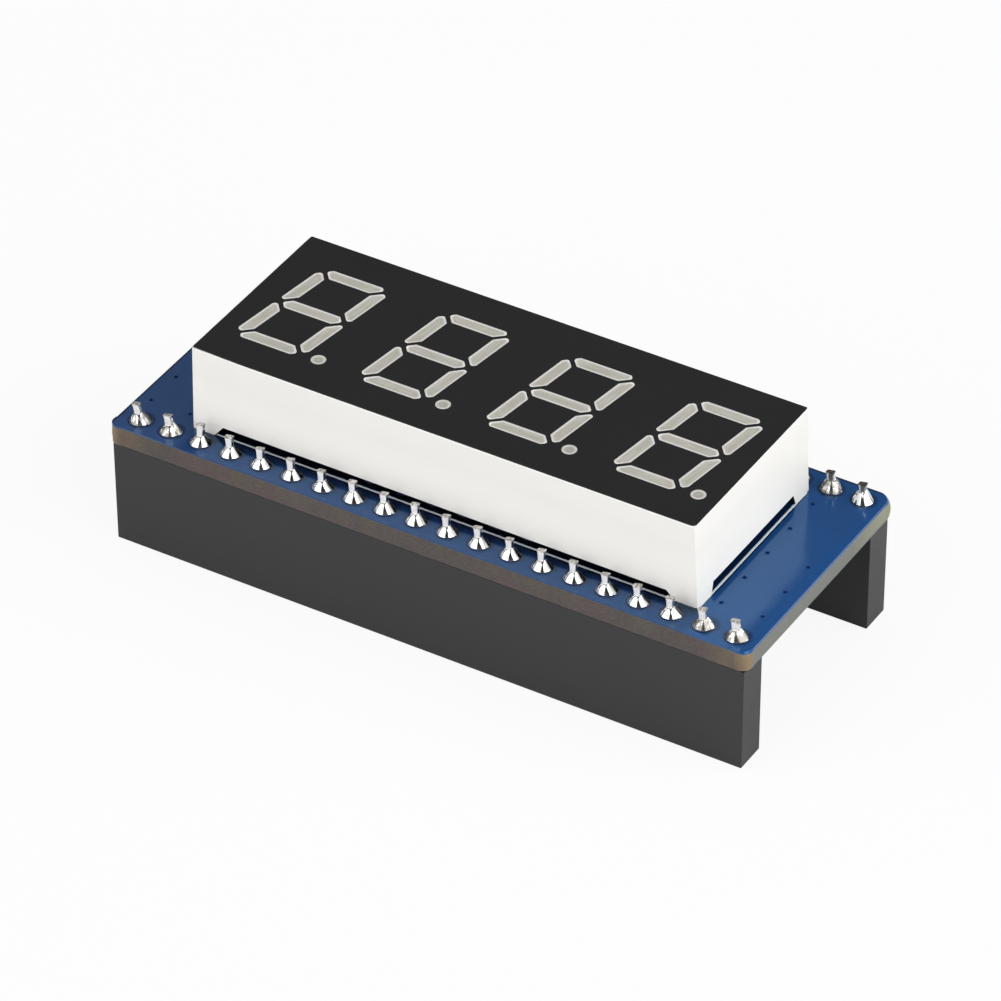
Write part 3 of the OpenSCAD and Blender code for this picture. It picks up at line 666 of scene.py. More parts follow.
def roundOff(points, radius, steps, closed=True):
    # each corner gives way to an arc that touches both sides, between the same two tangent points
    points = np.asarray(points, float)
    before, after = np.roll(points, 1, 0), np.roll(points, -1, 0)
    to = (before - points) / np.linalg.norm(before - points, axis=1)[:, None]
    on = (after - points) / np.linalg.norm(after - points, axis=1)[:, None]
    half = np.arccos(np.clip((to * on).sum(1), -1, 1)) / 2
    trim = radius / np.tan(half)
    middle = points + (to + on) / np.linalg.norm(to + on, axis=1)[:, None] * (radius / np.sin(half))[:, None]
    start, end = points + to * trim[:, None] - middle, points + on * trim[:, None] - middle
    turn = np.arctan2(start[:, 0] * end[:, 1] - start[:, 1] * end[:, 0], (start * end).sum(1))
    angle = np.linspace(0, 1, steps)[None, :] * turn[:, None]
    arc = np.stack([start[:, None, 0] * np.cos(angle) - start[:, None, 1] * np.sin(angle),
                    start[:, None, 0] * np.sin(angle) + start[:, None, 1] * np.cos(angle)], -1)
    arcs = middle[:, None] + arc
    if closed:
        return arcs.reshape(-1, 2)
    return np.concatenate([points[:1], arcs[1:-1].reshape(-1, 2), points[-1:]])


def squareRound(angle, power):
    # a circle at power 2, nearer a square as the power grows
    c, s = np.cos(angle), np.sin(angle)
    return np.sign(c) * np.abs(c) ** (2 / power), np.sign(s) * np.abs(s) ** (2 / power)


# Spring contacts: tails with a sheared tip, and one folded sheet with two leaves in each socket

# the first three front tails were bent on the way, and the third is longer
tail = dict(width=0.5, thickness=0.38, lean=0.03, turn=5.0, flare=0.11, burr=0.05, shear=0.12, columns=28, seed=7,
            bent=[(-0.17, 0.0), (-0.07, 0.0), (0.16, 0.05)], longer=0.22)
leafSheet = dict(width=0.6, thick=0.2, wall=0.7, bridge=8.13, knee=4.3, grip=(0.35, 2.4), end=(0.57, 1.26),
                 bend=0.22, columns=12)


def stanceOf(row):
    # how each tail stands, the same for the tail and its solder: lean of its tip, turn, and extra length
    chance = np.random.default_rng(tail["seed"] + row)
    lean = chance.uniform(-1, 1, (socketCount, 2)) * tail["lean"]
    turn = np.radians(chance.uniform(-1, 1, socketCount) * tail["turn"])
    longer = np.zeros(socketCount)
    if row == 0:
        lean[:3] = tail["bent"]
        longer[2] = tail["longer"]
    return lean, turn, longer, chance


def waistOf(z):
    # the tail is slimmest halfway up, where the tinning runs thin
    return np.interp(z, boardTop + np.array([0, 0.45, 0.8, 1.15, 1.5]), [1.04, 1.02, 1.0, 1.0, 1.02])


def flareOf(u, z):
    # towards its tip the tail spreads to the left
    near = np.clip((z - boardTop - 0.75) / 0.75, 0, 1)
    return -np.clip(-u, 0, 1) * tail["flare"] * near ** 1.3


def stand(x, y, z, row, side):
    # copies x rows x columns: turned on its own axis, leant over and put in place
    lean, turn, _, _ = stanceOf(row)
    near = np.clip((z - boardTop) / (contactHigh[2] - boardTop), 0, 1.3)
    c, s = np.cos(turn)[:, None, None], np.sin(turn)[:, None, None]
    return np.stack([socketX[:, None, None] + x * c - y * s + lean[:, 0, None, None] * near,
                     side * rowY + x * s + y * c + lean[:, 1, None, None] * near, z], -1)


def tailGrid(row, side):
    # a rounded rectangle at each level, from a nearly round waist to a square tip
    _, _, longer, chance = stanceOf(row)
    tip = contactHigh[2]
    low = leafSheet["bridge"]
    levels = np.array([low, low, boardTop, boardTop + 0.45, boardTop + 0.8, tip - 0.45, tip - 0.3, tip - 0.14,
                       tip - 0.05, tip - 0.012, tip, tip, tip])
    close = np.array([0, 1, 1, 1, 1, 1, 1, 1, 1, 1, 0.9, 0.5, 0])
    cut = np.array([0, 0, 0, 0, 0, 0, 0, 0.15, 0.6, 0.9, 1, 1, 1.0])
    power = np.array([7, 7, 6, 4, 4, 4, 5, 6, 7, 7, 7, 7, 7.0])
    u, v = squareRound(turns(tail["columns"])[None], power[:, None])
    scale = (close * waistOf(levels))[:, None]
    x = u * scale * tail["width"] / 2 + flareOf(u, levels[:, None]) * close[:, None]
    y = v * scale * tail["thickness"] / 2
    near = np.clip((levels - boardTop) / (tip - boardTop), 0, 1)
    # the shear drops the tip towards one side and leaves a burr on the other
    drop = (np.clip(near - 0.8, 0, 1) / 0.2)[None, :, None] * chance.uniform(0.5, 1.3, (socketCount, 1, 1))
    tilt = chance.uniform(-0.4, 1.0, (socketCount, 1, 1))
    slope = 0.55 - 0.45 * (x / 0.25)[None] + tilt * 0.3 * (y / 0.2)[None]
    z = np.minimum(levels[None, :, None] - drop * tail["shear"] * slope, tip)
    burr = np.clip(u, 0, 1)[None] ** 6 * drop * tail["burr"] * (close > 0.85)[None, :, None]
    grid = stand(x[None] + burr, y[None] + 0 * z, z, row, side)
    # a longer tail is stretched above the board
    grid[..., 2] += np.clip(grid[..., 2] - boardTop, 0, None) * longer[:, None, None] / (tip - boardTop)
    return grid, np.broadcast_to(cut[None, :, None], grid.shape[:3])


def leafGrid(side):
    # a rounded rectangle carried along the folded centre line of the sheet, from one leaf's end to the other's
    s = leafSheet
    half = np.array([(-s["end"][0], s["end"][1]), (-s["grip"][0], s["grip"][1]), (-s["wall"], s["knee"]),
                     (-s["wall"], s["bridge"])])
    line = roundOff(np.concatenate([half, half[::-1] * (-1, 1)]), s["bend"], 7, closed=False)
    ahead = np.gradient(line, axis=0)
    ahead /= np.linalg.norm(ahead, axis=1)[:, None]
    across = np.stack([-ahead[:, 1], ahead[:, 0]], 1)
    u, v = squareRound(turns(s["columns"]), 6)
    line = np.concatenate([line[:1], line, line[-1:]])
    across = np.concatenate([across[:1], across, across[-1:]])
    scale = np.ones(len(line))
    scale[[0, -1]] = 0
    x = (u * s["width"] / 2)[None] * scale[:, None]
    yz = line[:, None] + across[:, None] * (v * s["thick"] / 2)[None, :, None] * scale[:, None, None]
    blank = np.zeros((socketCount,) + x.shape)
    grid = np.stack([socketX[:, None, None] + x, yz[..., 0] + side * rowY + blank, yz[..., 1] + blank], -1)
    return grid, blank


rows = (0, -1, "front"), (1, 1, "rear")
for row, side, name in rows:
    tails, cuts = tailGrid(row, side)
    leaves, plain = leafGrid(side)
    buildPiece(f"{name}_contacts_sprung", [tails, leaves], "sheet",
               [f"{name}_strip_contacts"], dict(cut=[cuts, plain]))
print("contacts made")


# Solder on the tails: the fill of the hole, a domed cone on the pad, a crease, and a skin up the tail

# pairs are for the front and the rear row. All solder drew up on one side of its tail: turn is that direction in
# degrees, rise its extra height and reach its extra foot
cone = dict(foot=(0.715, 0.775), height=(0.58, 0.70), turn=(45, 38), rise=(0.06, 0.14), reach=(0.12, 0.03),
            crease=0.295, tilt=0.06, tiltTurn=25, belly=0.11, thick=0.07, neckRise=0.03, fillet=0.06, skin=0.012,
            climb=1.30, bore=0.46, overlap=0.12, flankShadeTurn=62, columns=48, rows=10, neckRows=3, seed=31)
# joints that took more: socket, direction, extra height, foot and crease radius, width of the lump
lumps = dict(front=[(0, 28, 0.12, 0.09, 0.0, 0.6), (1, 24, 0.24, 0.14, 0.0, 0.42),
                    (18, 26, 0.16, 0.07, -0.02, 0.5), (19, 26, 0.24, 0.07, -0.02, 0.5)],
             rear=[(18, 5, -0.12, 0.10, 0.17, 0.6), (5, 70, 0.06, 0.02, 0.05, 0.5), (11, -20, 0.05, 0.03, 0.05, 0.5)])


def coneGrid(row, side, name):
    chance = np.random.default_rng(cone["seed"] + row)
    count = (socketCount, 1, 1)
    angle = turns(cone["columns"])[None, None]
    phase = chance.uniform(0, 2 * np.pi, (3,) + count)
    drawTurn = np.radians(cone["turn"][row] + chance.uniform(-10, 10, count))
    towards = np.clip(1.15 * np.cos(angle - drawTurn), 0, 1)
    drawn = towards * chance.uniform(0.85, 1.15, count)
    foot = (cone["foot"][row] + chance.normal(0, 0.010, count)) * (1 + 0.012 * np.cos(2 * angle + phase[0]))
    foot = foot + drawn * cone["reach"][row]
    height = cone["height"][row] * (1 + chance.normal(0, 0.04, count))
    height = height + cone["tilt"] * np.cos(angle + math.radians(cone["tiltTurn"]))
    height = height + 0.012 * np.cos(3 * angle + phase[1]) + drawn * cone["rise"][row]
    crease = cone["crease"] + chance.normal(0, 0.008, count) + angle * 0
    belly = cone["belly"] * (1 - 1.4 * towards)
    climb = cone["climb"] + chance.normal(0, 0.03, count)
    thick = np.zeros(count)
    for socket, degrees, gain, push, widen, width in lumps[name]:
        away = np.angle(np.exp(1j * (angle[0, 0] - math.radians(degrees))))
        hill = np.exp(-(away / width) ** 2)
        height[socket, 0] += hill * gain
        foot[socket, 0] += hill * push
        crease[socket, 0] += hill * widen
        belly[socket, 0] += hill * cone["belly"]
        thick[socket] = cone["thick"]
    padRadius = padHigh[1] - rowY
    radius = np.minimum(foot, padRadius + cone["overlap"])
    footZ = np.where(radius > padRadius, boardTop + 0.004, padTop)
    u2, v2 = squareRound(angle, 2.0)
    # flank: from the foot in to the crease, bellied in front and hollow where the solder drew up
    s = np.linspace(0, 1, cone["rows"])[None, :, None]
    flankR = radius + (crease - radius) * s
    flankZ = footZ + height * (s + belly * np.sin(np.pi * s))
    # neck: nearly level at the crease, then turning up along the tail
    q = np.linspace(0, 1, cone["neckRows"] + 1)[None, 1:, None]
    neckZ = flankZ[:, -1:] + (cone["neckRise"] + cone["fillet"] * towards) * (1 - np.cos(q * np.pi / 2))
    inward = np.sin(q * np.pi / 2)
    waist = waistOf(neckZ)
    u4, v4 = squareRound(angle, 4.0 - row)
    wide = tail["width"] / 2 + np.clip(u4, 0, 1) * thick
    neckX = crease * u2 * (1 - inward) + ((wide * waist + cone["skin"]) * u4 + flareOf(u4, neckZ)) * inward
    neckY = crease * v2 * (1 - inward) + (tail["thickness"] / 2 * waist + cone["skin"]) * v4 * inward
    # up the tail the skin thins out, then closes on the metal
    up = np.array([0.15, 0.4, 0.7, 0.9, 0.98, 1.0, 1.0])[None, :, None]
    hold = np.array([1.0, 0.9, 0.8, 0.8, 0.6, -1.2, -6.0])[None, :, None]
    topZ = boardTop + climb * (1 + 0.03 * np.cos(angle + phase[2]))
    skinZ = neckZ[:, -1:] + (topZ - neckZ[:, -1:]) * up
    waist = waistOf(skinZ)
    wide = tail["width"] / 2 + np.clip(u4, 0, 1) * thick * (1 - up)
    skinX = (wide * waist + cone["skin"] * hold) * u4 + flareOf(u4, skinZ)
    skinY = (tail["thickness"] / 2 * waist + cone["skin"] * hold) * v4
    # from below: the fill of the hole, then out over the pad
    bore = cone["bore"]
    lowR = np.array([0, bore, bore, bore])[None, :, None]
    lowZ = np.array([boardLow[2], boardLow[2], boardTop, padTop - 0.01])[None, :, None]
    blank = np.zeros((socketCount, 1, cone["columns"]))
    x = np.concatenate([lowR * u2 + blank, flankR * u2 + blank, neckX, skinX, blank], 1)
    y = np.concatenate([lowR * v2 + blank, flankR * v2 + blank, neckY, skinY, blank], 1)
    z = np.concatenate([lowZ + blank, flankZ + blank, neckZ, skinZ, skinZ[:, -1:]], 1)
    skin = np.concatenate([np.zeros(4 + cone["rows"]), [0.3, 0.7, 1.0], np.ones(8)])
    # painted shade: the drawn up flank of the front row is painted dark in place of its dark reflection, and only
    # faintly on the joints that took more
    high = np.concatenate([np.zeros(4), np.linspace(0, 1, cone["rows"]) ** 3, np.ones(3 + 8)])[None, :, None]
    dark = np.cos(angle - math.radians(cone["flankShadeTurn"])) * 3 - 1.1 + high * 1.2
    flank = np.clip(dark, 0, 1) * (1 - row) + blank
    mottle = 0.12 + blank
    larger = [socket for socket, *_ in lumps[name]]
    flank[larger] *= 0.4
    mottle[larger] = 0.85
    skin = skin[None, :, None]
    return stand(x, y, z, row, side), [mark + 0 * x for mark in (skin, flank * (1 - skin), mottle)]


for row, side, name in rows:
    cones, (skins, flanks, mottles) = coneGrid(row, side, name)
    buildPiece(f"{name}_solder_joints", cones, "solder", [f"{name}_tail_solder"],
               dict(skin=[skins], flank=[flanks], mottle=[mottles]), sharp=50)
print("solder joints made")


# Digits, worked out again from the sizes in the CAD source

digit = dict(count=4, pitch=10.16, height=10.0, width=5.86, slant=8.0, segment=1.04, gap=0.32, cornerCut=0.9,
             tipCut=0.5, waist=0.25, rim=0.12, point=1.1, pointGap=0.56, pointDrop=0.15)


def digitOutlines(inset):
    # top, side and middle segment as six corners each; the others are their mirror images; then all lean over
    d = digit
    w, h, t, root = d["width"] / 2, d["height"] / 2, d["segment"], math.sqrt(2)
    m = (d["gap"] / 2 + inset) * root
    k = d["cornerCut"] + inset * root
    r = d["tipCut"] + inset * root
    n = m - d["waist"]
    p = w - d["waist"] - m
    e = t / 2 - inset
    top = np.array([(-w + k - inset, h - inset), (w - k + inset, h - inset), (w - (m + k) / 2, h + (m - k) / 2),
                    (w - t - m + inset, h - t + inset), (-w + t + m - inset, h - t + inset),
                    (-w + (m + k) / 2, h + (m - k) / 2)])
    side = np.array([(-w + inset, r - inset), (-w + inset, h - k + inset), (-w + (k - m) / 2, h - (m + k) / 2),
                     (-w + t - inset, h - t + inset - m), (-w + t - inset, t - inset + n),
                     (-w + (r - n) / 2, (n + r) / 2)])
    middle = np.array([(-p, 0), (-p + e, e), (p - e, e), (p, 0), (p - e, -e), (-p + e, -e)])
    shapes = [top, top * (1, -1), middle, side, side * (-1, 1), side * (1, -1), side * (-1, -1)]
    lean = math.tan(math.radians(d["slant"]))
    return [s + np.stack([s[:, 1] * lean, s[:, 1] * 0], 1) for s in shapes]


def pointPlace():
    d = digit
    y = -d["height"] / 2 - d["pointDrop"] + d["point"] / 2
    return np.array([d["width"] / 2 + d["pointGap"] + d["point"] / 2 + y * math.tan(math.radians(d["slant"])), y])


def wellRings(inset, rounding, steps, dots, way=1):
    # the seven segments' rounded outlines and the decimal point's, way -1 turning the point's clockwise
    segments = [roundOff(shape, rounding, steps) for shape in digitOutlines(inset)]
    return segments, circle(dots) * (1, way) * (digit["point"] / 2 - inset) + pointPlace()


# the black layer's openings and the resin's faces sit a little off their wells: digits, then decimal points
slip = dict(digits=[(-0.03, 0.0), (0.03, -0.09), (0.03, -0.12), (-0.02, -0.08)],
            points=[(-0.02, 0.05), (0.02, -0.01), (0.0, -0.05), (-0.05, 0.02)])
digitX = (np.arange(digit["count"]) - (digit["count"] - 1) / 2) * digit["pitch"]
wellPlaces = np.stack([digitX, digitX * 0 + displayY], 1)[:, None]
facePlaces = wellPlaces + np.concatenate([np.repeat(np.array(slip["digits"])[:, None], 7, 1),
                                          np.array(slip["points"])[:, None]], 1)


# Resin: a lens in every well, slightly sunk in the middle, and the fill behind the carrier board

lens = dict(round=0.16, steps=9, sink=0.022, sinkFade=0.12, lip=0.02, lipFade=0.012, below=0.012,
            insets=(0.0, 0.02, 0.055, 0.10, 0.17, 0.26), middle=0.4)
chipTop = boxOf("light_chips")[1][2]


def lensGrid():
    top = faceHigh[2] - lens["below"]
    low = chipTop + 0.1
    # each segment has six corners, and the point as many corners as all their steps
    segments, dot = wellRings(digit["rim"], lens["round"], lens["steps"], lens["steps"] * 6, way=-1)
    rings = np.array(segments + [dot])
    middle = rings.mean(1, keepdims=True)
    # each ring shrinks towards the segment's spine, a line between its two ends
    spread = rings - middle
    axis = np.linalg.svd(spread, full_matrices=False)[2][:, :1]
    along = (spread * axis).sum(2, keepdims=True)
    across = np.linalg.norm(spread - along * axis, axis=2, keepdims=True).max(1, keepdims=True)
    reach = np.maximum(np.abs(along).max(1, keepdims=True) - across * 1.25, 0)
    reach[-1] = 0
    spine = middle + np.clip(along, -reach, reach) * axis
    insets = np.array(lens["insets"])
    share = 1 - insets[None, :, None, None] / across[:, None]
    flat = spine[:, None] + (rings - spine)[:, None] * share
    drop = lens["lip"] * np.exp(-insets / lens["lipFade"]) + lens["sink"] * (1 - np.exp(-insets / lens["sinkFade"]))
    parts = np.concatenate([spine[:, None], rings[:, None], flat, spine[:, None]], 1)
    level = np.concatenate([[low, low], top - drop, [top - lens["sink"]]])
    depth = np.concatenate([[0, 0], insets, [lens["middle"]]])
    # the lower rows stay in the well, the upper ones follow the face
    upper = (np.arange(len(level)) > 1)[None, None, :, None, None]
    xy = parts[None] + np.where(upper, facePlaces[:, :, None, None], wellPlaces[:, :, None, None])
    grid = lifted(xy, level[:, None])
    depth = depth[:, None] + np.zeros(xy.shape[:-1])
    depth[:, -1] += (depth[:, -1] > 0.06) * 0.4  # the decimal points are deeper in tone
    return grid.reshape((-1,) + grid.shape[2:]), depth.reshape((-1,) + depth.shape[2:])


def fillGrid():
    # a rounded rectangle at each level, drawn in by the level's own inset; it closes at both ends
    extent = (resinHigh - resinLow)[:2]
    ring = roundOff(square * (extent / 2), 0.15, 6)
    low, high = resinLow[2], chipTop + 0.08
    levels = np.array([low + 0.05, low + 0.05, low, low, low + 0.04, high, high])
    insets = np.array([0.0, 0.25, 0.4, 0.12, 0.0, 0.0, 0.0])
    shrink = 1 - insets[:, None, None] * 2 / extent
    shrink[[0, -1]] = 0
    return lifted(ring * shrink + (0, displayY), levels[:, None])[None]


lenses, depths = lensGrid()
fill = fillGrid()
buildPiece("segment_lenses", [lenses, fill], "resin", ["display_resin"],
           dict(depth=[depths, np.full(fill.shape[:3], 0.3)]), sharp=60)
print("lenses made")


# Black face: a flat layer with rounded openings; its rim wavers a little where the layer was cut

film = dict(round=0.22, corners=(0.07, 0.5, 0.36, 0.05, 0.14), steps=8, dots=40, fine=40, inset=0.004,
            waver=0.012, soft=0.008, left=0.17, leftFront=0.12, rear=0.07)


def filmOutline():
    # the layer runs a little long at the left and the rear, and draws back at the front left corner
    length, depth = (faceHigh - faceLow)[:2] / 2 - film["inset"]
    left, back = -length - film["left"], depth + film["rear"]
    corners = [(left, -depth + film["leftFront"]), (left + 4, -depth), (length, -depth), (length, back), (left, back)]
    ring = finer(roundOff(corners, np.array(film["corners"]), film["steps"]), film["fine"])
    out = ring / np.linalg.norm(ring, axis=1)[:, None]
    wave = np.sin(ring[:, 0] * 1.7 + ring[:, 1] * 2.3) * 0.6 + np.sin(ring[:, 0] * 0.6 - ring[:, 1] * 4.1 + 1) * 0.4
    return ring - np.sign(ring) * (wave * 0.5 + 0.5)[:, None] * film["waver"] * np.abs(out) + (0, displayY)


def filmPiece():
    segments, dot = wellRings(0.0, film["round"], film["steps"], film["dots"])
    rings = [filmOutline()] + [s + place for places in facePlaces for s, place in zip(segments + [dot], places)]
    flat = bpy.data.curves.new("faceOutline", "CURVE")
    flat.dimensions = "2D"
    flat.fill_mode = "BOTH"
    flat.extrude = (faceHigh[2] - faceLow[2]) / 2 * mm - film["soft"] * mm
    flat.bevel_depth = film["soft"] * mm
    flat.bevel_resolution = 1
    flat.offset = -film["soft"] * mm
    for ring in rings:
        spline = flat.splines.new("POLY")
        spline.points.add(len(ring) - 1)
        spline.points.foreach_set("co", np.pad(lifted(ring * mm, 0.0), ((0, 0), (0, 1)), constant_values=1.0).ravel())
        spline.use_cyclic_u = True
    holder = bpy.data.objects.new("faceOutline", flat)
    bpy.context.scene.collection.objects.link(holder)
    mesh = bpy.data.meshes.new_from_object(holder.evaluated_get(bpy.context.evaluated_depsgraph_get()))
    bpy.data.objects.remove(holder)
    mesh.transform(Matrix.Translation((0, 0, (faceLow[2] + faceHigh[2]) / 2 * mm)))
    mend(mesh, merging["solid"], faceOut)
    flattenLevel(mesh, 50)
    dressPiece(bpy.data.objects.new("black_face_layer", mesh), "face", ["display_face"])


filmPiece()


# White rims: the top of each well's wall, which shows between the resin and the black layer

rim = dict(below=0.010, edge=0.012, gap=0.004, tone=0.72)


def rimGrid():
    # a low wall carried round each opening: up inside, across, and down outside
    inner, innerDot = wellRings(digit["rim"], lens["round"], film["steps"], film["dots"])
    outer, outerDot = wellRings(rim["gap"], film["round"], film["steps"], film["dots"])
    low, top = resinHigh[2] - 0.05, faceHigh[2] - rim["below"]
    levels = np.array([low, top - rim["edge"], top, top, low, low])
    grids = []
    for inside, outside, places in ((np.array(inner), np.array(outer), facePlaces[:, :7]),
                                    (innerDot[None], outerDot[None], facePlaces[:, 7:])):
        bevel = inside + (outside - inside) * (rim["edge"] / digit["rim"])
        xy = np.stack([inside, inside, bevel, outside, outside, inside], 1)
        grids += [lifted(xy + place[:, None, None], levels[:, None]) for place in places]
    return grids


rims = rimGrid()
points = []  # the rims are darker but for the segments' tips, and darkest round the points
for grid in rims:
    out = np.linalg.norm(grid[..., :2] - grid[..., :2].mean((1, 2), keepdims=True), axis=3)
    tips = np.clip((out / out.max((1, 2), keepdims=True) - 0.9) / 0.06, 0, 1)
    points.append(1 - 0 * out if len(grid) == 1 else rim["tone"] * (1 - tips))
buildPiece("white_well_rims", rims, "housing", marks=dict(point=points), sharp=30)
print("face made")


# Mouldings: copies of the CAD solids with soft edges

def reshape(mesh, change):
    # change takes and gives all points at once, in millimetres
    points = np.empty(len(mesh.vertices) * 3, np.float32)
    mesh.vertices.foreach_get("co", points)
    points = change(points.reshape(-1, 3).astype(float) / mm) * mm
    mesh.vertices.foreach_set("co", points.ravel().astype(np.float32))
    mesh.update()


# widest is the rounding that weight 1 stands for. The second row finds the faces that are moved to fit the photo,
# and the third says how far
moulding = dict(widest=0.2, edge=0.05, corner=0.07, wall=0.7,
                near=0.05, footX=18.2, openX=19.3, openY=6.9, stripEnd=0.2,
                stripCut=25.61, slack=0.03, foot=0.10)


def softCopy(node, name, finishKey, widthOf, change=None):
    # widthOf gives each sharp edge its rounding in millimetres, from the edge's middle and direction
    def weigh(shape):
        bmesh.ops.dissolve_limit(shape, angle_limit=math.radians(0.6), verts=shape.verts, edges=shape.edges)
        weights = shape.edges.layers.float
        layer = weights.get("bevel_weight_edge") or weights.new("bevel_weight_edge")
        for edge in shape.edges:
            turned = len(edge.link_faces) == 2 and edge.calc_face_angle(0) > math.radians(25)
            a, b = (np.array(v.co) / mm for v in edge.verts)
            edge[layer] = widthOf((a + b) / 2, np.abs(b - a)) / moulding["widest"] if turned else 0.0

    mesh = nodes[node].data.copy()
    mesh.name = name
    if change:
        reshape(mesh, change)
    mend(mesh, merging["solid"], weigh)
    piece = bpy.data.objects.new(name, mesh)
    dressPiece(piece, finishKey, [node])
    bevel = piece.modifiers.new("softEdges", "BEVEL")
    bevel.limit_method = "WEIGHT"
    bevel.width = moulding["widest"] * mm
    bevel.segments = 3
    bevel.harden_normals = True
    bevel.use_clamp_overlap = True


def housingRounding(middle, run):
    atEnd = abs(middle[0]) > housingHigh[0] - moulding["wall"]
    outside = atEnd or abs(middle[1] - displayY) > (housingHigh[1] - housingLow[1]) / 2 - 0.02
    if atEnd and run[2] > 3:
        return moulding["corner"]
    return moulding["edge"] if outside and middle[2] < housingHigh[2] - 0.5 else 0.0


def stripRounding(middle, run):
    onSide = abs(abs(middle[1]) - rowY) > 1.2
    onEnd = abs(middle[0]) > stripHigh[0] - moulding["stripEnd"]
    return moulding["corner"] if onSide or onEnd else 0.0


def cutEnd(points):
    # the front strip was cut off a longer one, a little late and square
    atEnd = points[:, 0] < -(stripHigh[0] - moulding["stripEnd"])
    points[:, 0] = np.where(atEnd, -moulding["stripCut"], points[:, 0])
    return points


def fitHousing(points):
    # the left wall stands out a little, more at the top; so does the rear wall's top and the front left foot. The
    # opening's upper edge falls to the right in front and is higher at the right
    m = moulding
    x, y, z = points.T
    share = np.clip((z - housingLow[2]) / (housingHigh[2] - housingLow[2]), 0, 1)
    left = x < -faceHigh[0] + m["near"]
    rear = (y > faceHigh[1] - m["near"]) & (z > housingHigh[2] - 0.2)
    foot = (x < -m["footX"]) & (y < housingLow[1] + 0.1) & (z < housingLow[2] + m["near"])
    edge = np.abs(z - housingLow[2] - opening["high"]) < 0.06
    front = edge & (y < housingLow[1] + 0.3) & (np.abs(x) < m["openX"])
    right = edge & (x > housingHigh[0] - 0.3) & (np.abs(y - displayY) < m["openY"])
    lift = right * opening["right"] - front * (opening["front"] + openingFall(x))
    out = left * (share * (-m["slack"] - film["left"]) + m["slack"])
    return points + np.stack([out, rear * film["rear"] - foot * m["foot"], lift], 1)


softCopy("display_housing", "white_housing", "housing", housingRounding, change=fitHousing)
softCopy("front_strip_housing", "front_socket_strip", "strip", stripRounding, change=cutEnd)
softCopy("rear_strip_housing", "rear_socket_strip", "strip", stripRounding)
print("mouldings made")


# White print: one thin outline round the display, partly under its feet

outline = dict(halfLength=20.37, halfDepth=7.66, width=0.18, thick=0.014, corner=0.3, waver=0.010, slope=0.03,
               fine=80, seed=5)


def printGrid():
    # a low trapezoid carried round a rounded rectangle
    o = outline
    line = finer(roundOff(square * (o["halfLength"], o["halfDepth"]), o["corner"], 6), o["fine"])
    on = np.roll(line, -1, 0) - np.roll(line, 1, 0)
    on /= np.linalg.norm(on, axis=1)[:, None]
    out = np.stack([on[:, 1], -on[:, 0]], 1)
    chance = np.random.default_rng(o["seed"])
    wide = o["width"] / 2 + chance.normal(0, 0.5, (len(line), 2)) * o["waver"]
    across = np.stack([-wide[:, 0], -wide[:, 0] + o["slope"], wide[:, 1] - o["slope"], wide[:, 1]], 1)
    height = np.array([0.0, o["thick"], o["thick"], 0.0]) + 0.001
    grid = lifted(line[:, None] + out[:, None] * across[..., None] + (0, displayY), boardTop + height)
    return np.concatenate([grid, grid[:1]], 0)[None]


buildPiece("board_print", printGrid(), "print", sharp=30)


# Plugged holes beside the display: a low ring of lacquer round a pit painted dark as painted shade

plug = dict(ring=0.22, crest=0.165, pit=0.115, rise=0.010, columns=24)
plugColumns = {21.43: (-6.12, -2.92, 0.27, 3.44, 6.63), 24.62: (-6.05, -2.92, 0.26),
               -21.45: (-6.45, -3.27, -0.1, 3.08, 6.25), -24.75: (-6.47, -3.27, -0.1)}
plugPlaces = np.array([(x, y) for x, column in plugColumns.items() for y in column])


def plugGrid():
    # rows out from the middle: pit, its wall, the ring's crest and back to the board
    pit, ring = plug["pit"], plug["ring"]
    radius = np.array([0.0, 0.6 * pit, pit, pit + 0.02, plug["crest"], ring, ring, 0.0])
    height = np.array([0.25, 0.25, 0.35, 0.9, 1.0, 0.15, -1.0, -1.0]) * plug["rise"]
    dark = np.array([1, 1, 1, 0.3, 0, 0, 0, 0.0])
    xy = plugPlaces[:, None, None] + radius[None, :, None, None] * circle(plug["columns"])
    grid = lifted(xy, (boardTop + height)[:, None])
    return grid, np.broadcast_to(dark[None, :, None], grid.shape[:3])


plugs, pits = plugGrid()
buildPiece("plugged_holes", plugs, "plug", marks=dict(pit=[pits]), sharp=80)
print("print and plugged holes made")


# Circuit board: the router left the laminate of each corner standing out between its two lacquered skins

corner = dict(swell=0.27, middle=9.22, half=0.82, fullness=0.7, near=0.03, cuts=6, skin=0.9)


def swollenCorners(points):
    # points of the outer wall move away from the corner's centre, most at its diagonal and half way up, but at
    # the front left corner nearly as far at every level
    c = corner
    away = np.abs(points[:, :2]) - (boardHigh[:2] - cornerRadius)
    radius = np.hypot(away[:, 0], away[:, 1])
    outer = (away > 0).all(1) & (np.abs(radius - cornerRadius) < c["near"])
    turn = np.arctan2(away[:, 1], away[:, 0])
    level = np.clip(1 - ((points[:, 2] - c["middle"]) / c["half"]) ** 2, 0, 1) ** c["fullness"]
    frontLeft = (points[:, 0] < 0) & (points[:, 1] < 0)
    level = np.where(frontLeft, np.maximum(level, c["skin"]), level)
    push = np.where(outer, c["swell"] * level * np.sin(2 * turn), 0.0)[:, None]
    points[:, :2] += np.sign(points[:, :2]) * away / np.maximum(radius, 0.001)[:, None] * push
    return points


def cutLevels(shape):
    for level in np.linspace(boardLow[2], boardTop, corner["cuts"] + 2)[1:-1]:
        bmesh.ops.bisect_plane(shape, geom=shape.verts[:] + shape.edges[:] + shape.faces[:],
                               plane_co=(0, 0, level * mm), plane_no=(0, 0, 1))


